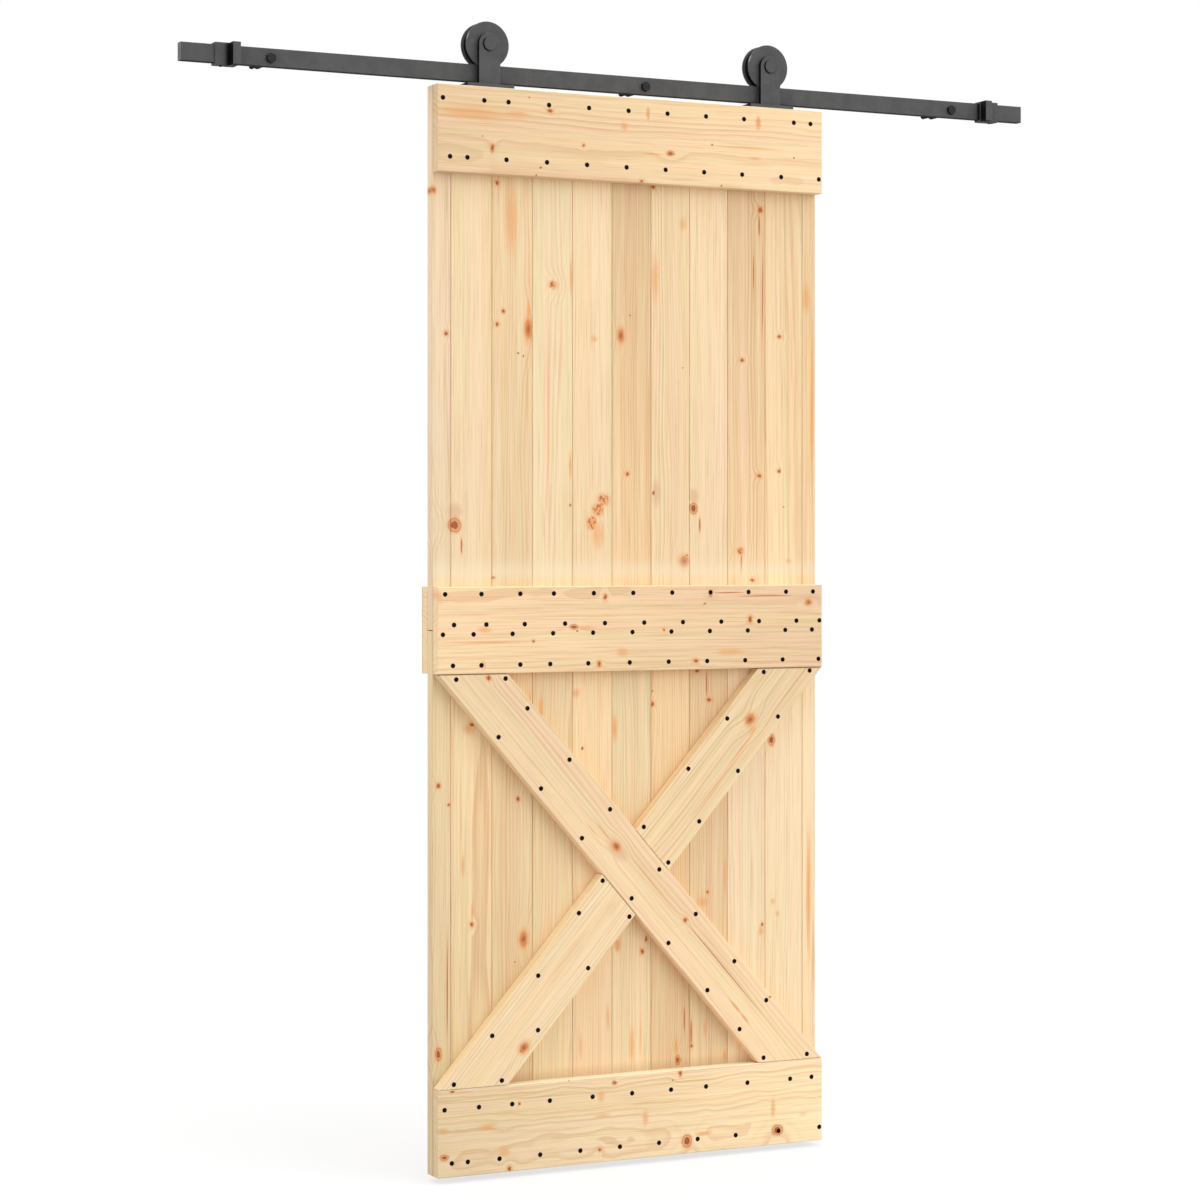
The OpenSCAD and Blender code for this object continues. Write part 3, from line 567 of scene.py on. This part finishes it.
def wood_colour(paint, wood, pine, board, cut, threads, fibre, rings):
    """The wood between the marks: two woods in broad bands, pink and green strands, cream and honey threads, growth
    rings and fibres, in the board's own shade and warmth."""
    bands = paint.fade(paint.noise(cut, (22.0, 22.0, 0.7)), 0.36, 0.64)
    blush = paint.fade(paint.noise(cut, (45.0, 45.0, 1.3), 2.0, 0.6), 0.5, 0.72)
    mossy = paint.fade(paint.noise(cut, (60.0, 60.0, 0.9), 2.0, 0.6), 0.52, 0.35)
    strands = paint.noise(cut, (130.0, 130.0, 1.6), 3.0, 0.65)
    colour = paint.mix(bands * wood.second_share, getattr(pine, wood.main), getattr(pine, wood.second))
    colour = paint.mix(blush * 0.4, colour, pine.rose)
    colour = paint.mix(mossy * 0.45, colour, pine.moss)
    colour = paint.mix(paint.fade(strands, 0.52, 0.7, 0.5), colour, pine.rose)
    colour = paint.mix(paint.fade(strands, 0.48, 0.32, 0.5), colour, pine.moss)
    colour = paint.mix(paint.fade(threads, 0.5, 0.26, 0.6), colour, pine.cream)
    colour = paint.mix(paint.fade(threads, 0.54, 0.8, wood.honey), colour, pine.honey)
    colour = paint.mix(rings * (wood.rings * pine.contrast), colour, pine.late)
    colour = paint.mix(paint.fade(fibre, 0.46, 0.78, pine.fibre), colour, pine.late)
    own = (wood.shade * (1 + wood.warmth), wood.shade, wood.shade * (1 - wood.warmth))
    colour = paint.mix(1.0, colour, own, "MULTIPLY")
    colour = paint.scale(colour, paint.part(board, "Z") * wood.rise + 1.0)
    return paint.vector("MINIMUM", colour, (1.0, 1.0, 1.0))


def away_from_joints(paint, node, here):
    """How far a point of a brace is from the boards that it meets: from the rails at its ends, a little more at the
    lower one, and on the lower short brace from the long one's edge, whichever is nearest. The upper short brace
    fits the long one closely."""
    low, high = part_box("long_brace")
    z = paint.part(here, "Z")
    rail = paint.math("MINIMUM", high.z - z, z - low.z + FAINT_LINE)
    if node != "lower_short_brace":
        return rail
    turned = paint.place(here, (low + high) / 2, turn=grain_turn("long_brace"))
    edge = paint.math("ABSOLUTE", paint.part(turned, "X")) - BRACE_WIDTH / 2
    return paint.math("MINIMUM", rail, edge)


def shade_meetings(paint, node, pine, here, colour):
    """The colour with what shows where boards meet: dark lines at the ends of braces, a painted highlight on rails'
    faces that look up and painted shade in strips at the back of their ends, and on the fronts of planks a band above
    the rail at their feet: painted bounce light on the upper planks, painted shade on the lower ones."""
    if node in BRACES:
        line = paint.fade(away_from_joints(paint, node, here), *JOINT_LINE)
        return paint.mix(line, colour, pine.joint)
    facing = paint.facing()
    if node in RAILS:
        # Painted highlight on the faces that look up
        colour = paint.mix(paint.fade(paint.part(facing, "Z"), 0.3, 0.6, 0.6), colour, pine.edge)
        # Painted shade in a strip at the back of the rail's ends, where they meet the planks
        end = paint.fade(paint.math("ABSOLUTE", paint.part(facing, "X")), 0.6, 0.8)
        strip = paint.fade(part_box(node)[1].y - paint.part(here, "Y"), *END_SHADE)
        return paint.mix(strip * end, colour, pine.joint)
    front = paint.fade(paint.part(facing, "Y"), -0.6, -0.8)
    if node in UPPER_PLANKS:
        # Painted bounce light in a pale band above the middle rail
        above = paint.part(here, "Z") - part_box("middle_rail_front")[1].z
        band = paint.fade(above, *BOUNCE_LIGHT_ABOVE) * paint.fade(above, *BOUNCE_LIGHT_BELOW)
        return paint.mix(band * front, colour, pine.pale)
    # Painted shade in a dark band on the lower planks just above the bottom rail
    above = paint.part(here, "Z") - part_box("bottom_rail")[1].z
    return paint.mix(paint.fade(above, *FOOT_SHADE) * front, colour, pine.joint)


def pine_material(node, pine):
    """Planed pine for one board, cut from its own place in a tree with the pith behind the board."""
    wood = Wood(*WOODS[node])
    material, paint = new_material(f"pine_{node}")
    low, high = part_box(node)
    centre = (low + high) / 2
    turn = grain_turn(node)
    draw = np.random.default_rng(wood.seed)
    pith = (wood.pith_side * MM, float(draw.uniform(0.03, 0.07)), 0.0)
    shift = tuple(float(v) for v in draw.uniform(-20.0, 20.0, 3))

    here = paint.here()
    board = paint.place(here, centre, turn=turn)
    cut = paint.vector("ADD", board, shift)
    threads = paint.noise(cut, (170.0, 170.0, 2.2), 3.0, 0.6)
    fibre = paint.noise(cut, (520.0, 520.0, 7.0), 3.0, 0.6)
    halo, stain, body, eye, push = mark_strengths(paint, node, centre, turn, board, cut)
    rings = growth_rings(paint, node, wood, pith, board, cut, push)

    colour = wood_colour(paint, wood, pine, board, cut, threads, fibre, rings)
    colour = paint.mix(stain, colour, pine.stain)
    colour = paint.mix(halo * (0.55 + threads * 0.8), colour, pine.halo)
    colour = paint.mix(body, colour, pine.knot)
    colour = paint.mix(eye, colour, pine.eye)
    colour = shade_meetings(paint, node, pine, here, colour)
    rough = pine.roughness + (fibre - 0.5) * 0.25 - body * 0.15
    height = fibre * 0.55 + rings * 0.45 + body * 0.5
    paint.surface(colour, rough, height, distance=0.0004, strength=0.35, specular=0.25)
    return material


def dress_in_pine(nodes, context):
    """Gives each board its own pine."""
    for node in nodes:
        dress(NODES[node], pine_material(node, context.scene.barn_door_pine))


# Tints of mottled and worn coat, of rubbed screws, and of the rings and clouds on bare steel
BLACK = (0.0, 0.0, 0.0)
WORN_COAT = (0.25, 0.25, 0.25)
RUBBED_SCREW = (0.05, 0.04, 0.032)
STEEL_RINGS = (0.2, 0.2, 0.2)
STEEL_CLOUDS = (0.3, 0.29, 0.27)


def coat_surface(paint, here, colour, metal):
    """Finishes a coat of the given colour: softly mottled, with a few rubbed places and the fine pebbling of sprayed
    powder."""
    mottle = paint.noise(here, (34.0, 34.0, 34.0), 3.0, 0.6)
    colour = paint.mix(paint.fade(mottle, 0.35, 0.7, 0.14), colour, BLACK)
    rubbed = paint.noise(here, (26.0, 90.0, 90.0), 4.0, 0.65)
    colour = paint.mix(paint.fade(rubbed, 0.6, 0.78, 0.12), colour, WORN_COAT)
    pebble = paint.noise(here, (1500.0, 1500.0, 1500.0))
    rough = metal.roughness + (mottle - 0.5) * 0.2
    paint.surface(colour, rough, pebble, distance=0.0002, strength=0.3, specular=0.1)


def painted_side_shade(paint):
    """1 on faces that look to a side, up or down, where black painted shade goes; 0 on those that look to the front
    or back.
    """
    return paint.fade(paint.math("ABSOLUTE", paint.part(paint.facing(), "Y")), 0.8, 0.35)


def corner_shadow(paint, here, face_x):
    """Painted shadow: 1 against the left side of a block at face_x, fading out to the left."""
    out = face_x - paint.part(here, "X")
    return paint.fade(out, CORNER_SHADOW_REACH, 0.15 * CORNER_SHADOW_REACH) * paint.fade(out, -0.0006, 0.0)


def coat_material(name, coat, metal):
    """Matt powder coat: grey on faces that look to the front or back, black painted shade on faces that look to a
    side, up or down.
    """
    material, paint = new_material(name)
    coat_surface(paint, paint.here(), paint.mix(painted_side_shade(paint), coat, metal.edge), metal)
    return material


def bar_material(metal):
    """Coat of the track bar: black painted shade on its sides, paler ends, and a painted shadow in the corner beside
    the right stop.
    """
    material, paint = new_material("coat_track_bar")
    low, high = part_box("track_bar")
    here = paint.here()
    out = paint.math("ABSOLUTE", paint.part(here, "X") - (low.x + high.x) / 2)
    # Black painted shade on the sides, and a painted shadow beside the right stop
    dark = paint.math("MAXIMUM", painted_side_shade(paint), corner_shadow(paint, here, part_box("right_stop")[0].x))
    colour = paint.mix(dark, metal.coat, metal.edge)
    colour = paint.mix(paint.fade((high.x - low.x) / 2 - out, *BAR_END), colour, metal.bar_end)
    coat_surface(paint, here, colour, metal)
    return material


def stop_material(metal):
    """Coat of the stops: black painted shade on the sides of the buffer block, which stands in front of the bar, and
    a painted shadow on the saddle in the corner beside the left one."""
    material, paint = new_material("coat_stops")
    here = paint.here()
    block = paint.fade(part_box("track_bar")[0].y - SADDLE_T - paint.part(here, "Y"), *BLOCK_FACE)
    saddle_shadow = corner_shadow(paint, here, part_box("left_stop")[1].x - BLOCK_L) * (1.0 - block)
    # Black painted shade on the block's sides, and the painted shadow on the saddle
    colour = paint.mix(paint.math("MAXIMUM", painted_side_shade(paint) * block, saddle_shadow), metal.coat, metal.edge)
    coat_surface(paint, here, colour, metal)
    return material


def hanger_material(side, metal):
    """Coat of a hanger: black painted shade on its sides, and a painted shadow in a dark line round the lower left of
    the axle bolt's head.
    """
    material, paint = new_material(f"coat_{side}_hanger")
    low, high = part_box(f"{side}_axle_bolt")
    middle = (low + high) / 2
    here = paint.here()
    beyond_head = paint.from_axle(here, middle) - (high.x - low.x) / 2
    beside = paint.part(here, "X") - middle.x + (paint.part(here, "Z") - middle.z) * HEAD_TILT
    line = paint.fade(beyond_head, *HEAD_LINE) * paint.fade(beside, *HEAD_LEFT)
    # Black painted shade on the sides, and the painted shadow line round the bolt's head
    dark = paint.math("MAXIMUM", painted_side_shade(paint), line)
    coat_surface(paint, here, paint.mix(dark, metal.coat, metal.edge), metal)
    return material


def wheel_material(side, metal):
    """Coated wheel, by radius and depth from its middle: black painted shade at the bottom of the groove, and a
    painted highlight on the rim of the front flange, most of all at one place."""
    material, paint = new_material(f"coat_{side}_wheel")
    low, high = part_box(f"{side}_wheel")
    middle = (low + high) / 2
    rim, half = (high.x - low.x) / 2, (high.y - low.y) / 2
    here = paint.here()
    depth = paint.part(here, "Y") - middle.y
    inward = rim - paint.from_axle(here, middle)
    groove = paint.fade(half - paint.math("ABSOLUTE", depth), *FLANGE) * paint.fade(inward, *GROOVE)
    front_rim = paint.fade(inward, *RIM_HIGHLIGHT) * paint.fade(depth, 0.001, -0.001)
    worn_place = (middle.x + HIGHLIGHT_X * rim, middle.y, middle.z + HIGHLIGHT_Z * rim)
    worn = front_rim * paint.fade(paint.from_axle(here, worn_place), *HIGHLIGHT_FADE)
    # Black painted shade in the groove, then a painted highlight on the front rim, brightest at one spot
    colour = paint.mix(groove, metal.coat, metal.edge)
    colour = paint.mix(front_rim, colour, metal.rubbed)
    colour = paint.mix(worn, colour, metal.worn)
    coat_surface(paint, here, colour, metal)
    return material


def screw_material(tone):
    """Black phosphate: dark, slightly mottled, with grey rubbed high spots."""
    material, paint = new_material("black_screws")
    grain = paint.noise(paint.here(), (900.0, 900.0, 900.0), 3.0, 0.6)
    colour = paint.mix(paint.fade(grain, 0.55, 0.8, 0.3), tone, RUBBED_SCREW)
    paint.surface(colour, 0.5 + grain * 0.25, grain, distance=0.0001, strength=0.3, specular=0.08)
    return material


def steel_material(side, tone):
    """Turned steel: fine rings round the axle, with a slightly uneven sheen."""
    material, paint = new_material(f"steel_{side}")
    low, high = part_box(f"{side}_wheel")
    here = paint.here()
    turned = paint.line_noise(paint.from_axle(here, (low + high) / 2) * 2600.0)
    cloud = paint.noise(here, (120.0, 120.0, 120.0), 3.0, 0.6)
    colour = paint.mix(paint.fade(turned, 0.4, 0.7, 0.3), tone, STEEL_RINGS)
    colour = paint.mix(paint.fade(cloud, 0.5, 0.75, 0.3), colour, STEEL_CLOUDS)
    rough = 0.3 + turned * 0.15 + cloud * 0.1
    paint.surface(colour, rough, turned, distance=0.0001, strength=0.25, specular=0.5, metallic=1.0)
    return material


# Wall bolts: the angle from which edges look sharp, columns of points round the bolt, and rows along its thread
SHARP_ANGLE = math.radians(32)
BOLT_COLUMNS = 48
THREAD_ROWS = 111
# Depths of the first rows on the head, how far its corners are turned down at the top, and how fast that cone widens
HEAD_ROWS = (0.0, 0.0003, 0.0008, 0.0014, 0.0020)
CORNER_CUT = 0.0009
CONE_RISE = 0.9
# Length over which the thread grows, length of the point in diameters, and its blunt end in shares of the width
THREAD_START = 0.003
POINT_LENGTH = 0.8
POINT_END = 0.06


def grid_mesh(name, points):
    """A closed mesh from a grid of points (rows, columns, 3): columns run round and join up, and the first and last
    row each close in one point at their middle."""
    rows, columns, _ = points.shape
    start, end = points[0].mean(axis=0), points[-1].mean(axis=0)
    vertices = np.vstack([points.reshape(-1, 3), start, end])
    i, j = np.meshgrid(np.arange(rows - 1), np.arange(columns), indexing="ij")
    a = i * columns + j
    b = i * columns + (j + 1) % columns
    quads = np.stack([a, a + columns, b + columns, b], axis=-1).reshape(-1, 4)
    ring = np.arange(columns)
    after = (ring + 1) % columns
    first = rows * columns
    base = (rows - 1) * columns
    start_fan = np.stack([np.full(columns, first), ring, after], axis=-1)
    end_fan = np.stack([np.full(columns, first + 1), base + after, base + ring], axis=-1)
    mesh = bpy.data.meshes.new(name)
    mesh.from_pydata(vertices.tolist(), [], quads.tolist() + start_fan.tolist() + end_fan.tolist())
    mesh.validate()
    mesh.shade_smooth()
    mesh.set_sharp_from_angle(angle=SHARP_ANGLE)
    return mesh


def add_piece(name, mesh, body, slot, *replaced):
    """Links a mesh as an object at the origin, riding on a body in place of CAD nodes."""
    obj = bpy.data.objects.new(name, mesh)
    bpy.context.scene.collection.objects.link(obj)
    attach(obj, body)
    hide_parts(*replaced)
    return obj


def wall_bolt_points(place, bolt):
    """A wall bolt as radius over depth y and turn t. Head: the smaller of the hexagon's radius at t and a cone that
    turns its corners down. Neck: a plain round. Thread: root radius plus a triangle wave of y / pitch - t / full
    turn with its crests and roots cut flat, both drawn in to the point over the last part."""
    low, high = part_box(f"{place}_wall_bolt")
    head_y, tip_y = low.y, high.y
    seat_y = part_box("track_bar")[0].y
    centre_x, centre_z = (low.x + high.x) / 2, (low.z + high.z) / 2
    t = np.linspace(0.0, 2 * np.pi, BOLT_COLUMNS, endpoint=False)
    hexagon = bolt.flats / 2 / np.cos((t + np.pi / 6) % (np.pi / 3) - np.pi / 6)
    corner = bolt.flats / 2 / math.cos(math.pi / 6)
    head_rows = np.array([*HEAD_ROWS, seat_y - head_y])
    cone = corner - CORNER_CUT + head_rows * CONE_RISE
    head = np.minimum(hexagon[None, :], cone[:, None])
    neck_y = np.array([seat_y, 0.0])
    neck = np.full((len(neck_y), BOLT_COLUMNS), bolt.neck / 2)
    thread_y = np.linspace(0.0, tip_y, THREAD_ROWS)
    wave = np.abs(((thread_y[:, None] / bolt.pitch - t[None, :] / (2 * np.pi)) % 1.0) - 0.5) * 2.0
    crest = np.clip(1.6 * wave - 0.3, 0.0, 1.0)
    taper = np.clip((tip_y - thread_y) / (POINT_LENGTH * bolt.thread), POINT_END, 1.0)[:, None]
    start = np.clip(thread_y / THREAD_START, 0.0, 1.0)[:, None]
    thread = (bolt.thread / 2 - bolt.depth + bolt.depth * crest * start) * taper
    y = np.concatenate([head_y + head_rows, neck_y, thread_y])
    r = np.vstack([head, neck, thread])
    grid = np.empty((len(y), BOLT_COLUMNS, 3))
    grid[..., 0] = centre_x + r * np.cos(t)
    grid[..., 1] = y[:, None]
    grid[..., 2] = centre_z + r * np.sin(t)
    return grid


# The camera's place, the shift of its picture in shares of the width, and the width of its frame in mm
CAMERA_PLACE = (-2.6750, -5.3265, -0.9138)
CAMERA_SHIFT = (0.0026, -0.0454)
FRAME_WIDTH = 36.0
# The spread of each sun in degrees, and the direction in which it shines
SUNS = {
    "key": (75.0, (-1.0, 1.0, -0.45)),
    "fill": (60.0, (5.5, 0.4, -0.4)),
    "top": (60.0, (0.0, 0.05, -1.0)),
}
# The floor's half width, and its tints for light and for the camera
FLOOR_REACH = 30.0
FLOOR_FOR_LIGHT = (0.5, 0.5, 0.5)
FLOOR_SEEN = (0.9, 0.9, 0.9)
WHITE = (1.0, 1.0, 1.0, 1.0)


def set_camera(scene, stage):
    """A level camera, turned to the right."""
    lens = bpy.data.cameras.new("camera")
    lens.lens = stage.focal
    lens.sensor_width = FRAME_WIDTH
    lens.shift_x, lens.shift_y = CAMERA_SHIFT
    camera = bpy.data.objects.new("camera", lens)
    camera.location = CAMERA_PLACE
    camera.rotation_euler = (math.pi / 2, 0.0, -stage.turn)
    scene.collection.objects.link(camera)
    scene.camera = camera


def set_suns(scene, stage):
    """Broad suns, each as strong as its setting."""
    for name, (spread, towards) in SUNS.items():
        lamp = bpy.data.lights.new(name, "SUN")
        lamp.energy = getattr(stage, name)
        lamp.angle = math.radians(spread)
        light = bpy.data.objects.new(name, lamp)
        light.rotation_euler = Vector(towards).to_track_quat("-Z", "Y").to_euler()
        scene.collection.objects.link(light)


def set_sky(scene, stage):
    """A world that the camera and reflections see as white, and that gives soft light."""
    world = bpy.data.worlds.new("studio")
    world.use_nodes = True
    scene.world = world
    paint = Paint(world.node_tree)
    seen = paint.ray("Is Camera Ray")
    for kind in ("Is Glossy Ray", "Is Transmission Ray"):
        seen = paint.math("MAXIMUM", seen, paint.ray(kind))
    strength = seen * (1.0 - stage.ambient) + stage.ambient
    sky = paint.node("ShaderNodeBackground", None, {"Color": WHITE, "Strength": strength})
    paint.node("ShaderNodeOutputWorld", None, {"Surface": sky})


def set_floor(scene, stage):
    """A floor that the camera sees as white, apart from a faint shadow near the door."""
    floor_z = CAD_BOX[0][2] - stage.floor_gap
    mesh = bpy.data.meshes.new("floor")
    corners = np.array([(-1, -1), (1, -1), (1, 1), (-1, 1)]) * FLOOR_REACH
    mesh.from_pydata([(x, y, floor_z) for x, y in corners.tolist()], [], [(0, 1, 2, 3)])
    floor = bpy.data.objects.new("floor", mesh)
    scene.collection.objects.link(floor)
    material, paint = new_material("pale_floor")
    is_seen = paint.ray("Is Camera Ray")
    matt = paint.node("ShaderNodeBsdfDiffuse", None, {"Color": paint.mix(is_seen, FLOOR_FOR_LIGHT, FLOOR_SEEN)})
    white = paint.node("ShaderNodeEmission", None, {"Color": WHITE, "Strength": 1.0})
    out = paint.length_of(paint.place(paint.here(), (0.0, 0.0, floor_z)))
    shadow = paint.fade(out, *SHADOW)
    mixed = paint.node("ShaderNodeMixShader", None, {0: is_seen * (1.0 - shadow), 1: matt, 2: white})
    paint.node("ShaderNodeOutputMaterial", None, {"Surface": mixed})
    dress(floor, material)


class BarnDoorOperator:
    """Shared options of the operators."""
    bl_options = {"REGISTER", "UNDO"}


class BARNDOOR_OT_planks(BarnDoorOperator, bpy.types.Operator):
    """Give every plank of both panels its own piece of pine"""
    bl_idname = "barn_door.planks"
    bl_label = "Planks"

    def execute(self, context):
        dress_in_pine(UPPER_PLANKS + LOWER_PLANKS, context)
        return {"FINISHED"}


class BARNDOOR_OT_rails(BarnDoorOperator, bpy.types.Operator):
    """Give the cross rails pine with its grain lying level"""
    bl_idname = "barn_door.rails"
    bl_label = "Cross rails"

    def execute(self, context):
        dress_in_pine(RAILS, context)
        return {"FINISHED"}


class BARNDOOR_OT_braces(BarnDoorOperator, bpy.types.Operator):
    """Give the braces pine with its grain along the diagonals"""
    bl_idname = "barn_door.braces"
    bl_label = "Braces"

    def execute(self, context):
        dress_in_pine(BRACES, context)
        return {"FINISHED"}


class BARNDOOR_OT_screws(BarnDoorOperator, bpy.types.Operator):
    """Blacken the wood screws and the clamp screws of the stops"""
    bl_idname = "barn_door.screws"
    bl_label = "Screws"

    def execute(self, context):
        black = screw_material(context.scene.barn_door_metal.screw)
        for node in DOOR_SCREWS + [f"{side}_stop_screw" for side in SIDES]:
            dress(NODES[node], black)
        return {"FINISHED"}


class BARNDOOR_OT_track(BarnDoorOperator, bpy.types.Operator):
    """Coat the track bar, its spacers and its stops"""
    bl_idname = "barn_door.track"
    bl_label = "Track and stops"

    def execute(self, context):
        metal = context.scene.barn_door_metal
        dress(NODES["track_bar"], bar_material(metal))
        coat = coat_material("coat_spacers", metal.coat, metal)
        for place in BOLT_PLACES:
            dress(NODES[f"{place}_wall_spacer"], coat)
        coat = stop_material(metal)
        for side in SIDES:
            dress(NODES[f"{side}_stop"], coat)
        return {"FINISHED"}


class BARNDOOR_OT_wall_bolts(BarnDoorOperator, bpy.types.Operator):
    """Make the wall bolts with hexagon heads and real threads"""
    bl_idname = "barn_door.wall_bolts"
    bl_label = "Wall bolts"

    def execute(self, context):
        metal = context.scene.barn_door_metal
        coat = coat_material("coat_wall_bolts", metal.bolt, metal)
        for place in BOLT_PLACES:
            name = f"{place}_threaded_bolt"
            mesh = grid_mesh(name, wall_bolt_points(place, context.scene.barn_door_bolt))
            dress(add_piece(name, mesh, "track", "dark_hardware", f"{place}_wall_bolt"), coat)
        return {"FINISHED"}


class BARNDOOR_OT_running_gear(BarnDoorOperator, bpy.types.Operator):
    """Coat the hangers, wheels and axle bolts"""
    bl_idname = "barn_door.running_gear"
    bl_label = "Hangers and wheels"

    def execute(self, context):
        metal = context.scene.barn_door_metal
        coat = coat_material("coat_axle_bolts", metal.coat, metal)
        for side in SIDES:
            dress(NODES[f"{side}_hanger"], hanger_material(side, metal))
            dress(NODES[f"{side}_axle_bolt"], coat)
            dress(NODES[f"{side}_wheel"], wheel_material(side, metal))
        return {"FINISHED"}


class BARNDOOR_OT_axle_steel(BarnDoorOperator, bpy.types.Operator):
    """Turn the bearings, bushes and nuts in bare steel"""
    bl_idname = "barn_door.axle_steel"
    bl_label = "Axle steel"

    def execute(self, context):
        for side in SIDES:
            steel = steel_material(side, context.scene.barn_door_metal.steel)
            for part in ("bearing", "axle_bushes", "axle_nut"):
                dress(NODES[f"{side}_{part}"], steel)
        return {"FINISHED"}


class BARNDOOR_OT_stage(BarnDoorOperator, bpy.types.Operator):
    """Set up the camera, the light and the floor"""
    bl_idname = "barn_door.stage"
    bl_label = "Stage"

    def execute(self, context):
        scene = context.scene
        scene.view_settings.view_transform = "Standard"
        for step in (set_camera, set_suns, set_sky, set_floor):
            step(scene, scene.barn_door_stage)
        return {"FINISHED"}


OPERATORS = (
    BARNDOOR_OT_planks, BARNDOOR_OT_rails, BARNDOOR_OT_braces, BARNDOOR_OT_screws, BARNDOOR_OT_track,
    BARNDOOR_OT_wall_bolts, BARNDOOR_OT_running_gear, BARNDOOR_OT_axle_steel, BARNDOOR_OT_stage)
SETTINGS = {
    "barn_door_pine": PineSettings,
    "barn_door_metal": HardwareSettings,
    "barn_door_bolt": BoltSettings,
    "barn_door_stage": StageSettings,
}


class BARNDOOR_PT_panel(bpy.types.Panel):
    """Steps and settings of the barn door"""
    bl_label = "Barn door"
    bl_idname = "BARNDOOR_PT_panel"
    bl_space_type = "VIEW_3D"
    bl_region_type = "UI"
    bl_category = "Barn door"

    def draw(self, context):
        for operator in OPERATORS:
            self.layout.operator(operator.bl_idname)
        for name, group in SETTINGS.items():
            box = self.layout.box()
            for prop in group.__annotations__:
                box.prop(getattr(context.scene, name), prop)


CLASSES = (*SETTINGS.values(), *OPERATORS, BARNDOOR_PT_panel)


def register():
    for cls in CLASSES:
        bpy.utils.register_class(cls)
    for name, group in SETTINGS.items():
        setattr(bpy.types.Scene, name, bpy.props.PointerProperty(type=group))


def unregister():
    for name in SETTINGS:
        delattr(bpy.types.Scene, name)
    for cls in reversed(CLASSES):
        bpy.utils.unregister_class(cls)


def main():
    register()
    bpy.ops.barn_door.planks()
    bpy.ops.barn_door.rails()
    bpy.ops.barn_door.braces()
    bpy.ops.barn_door.screws()
    bpy.ops.barn_door.track()
    bpy.ops.barn_door.wall_bolts()
    bpy.ops.barn_door.running_gear()
    bpy.ops.barn_door.axle_steel()
    bpy.ops.barn_door.stage()


if __name__ == "__main__":
    main()
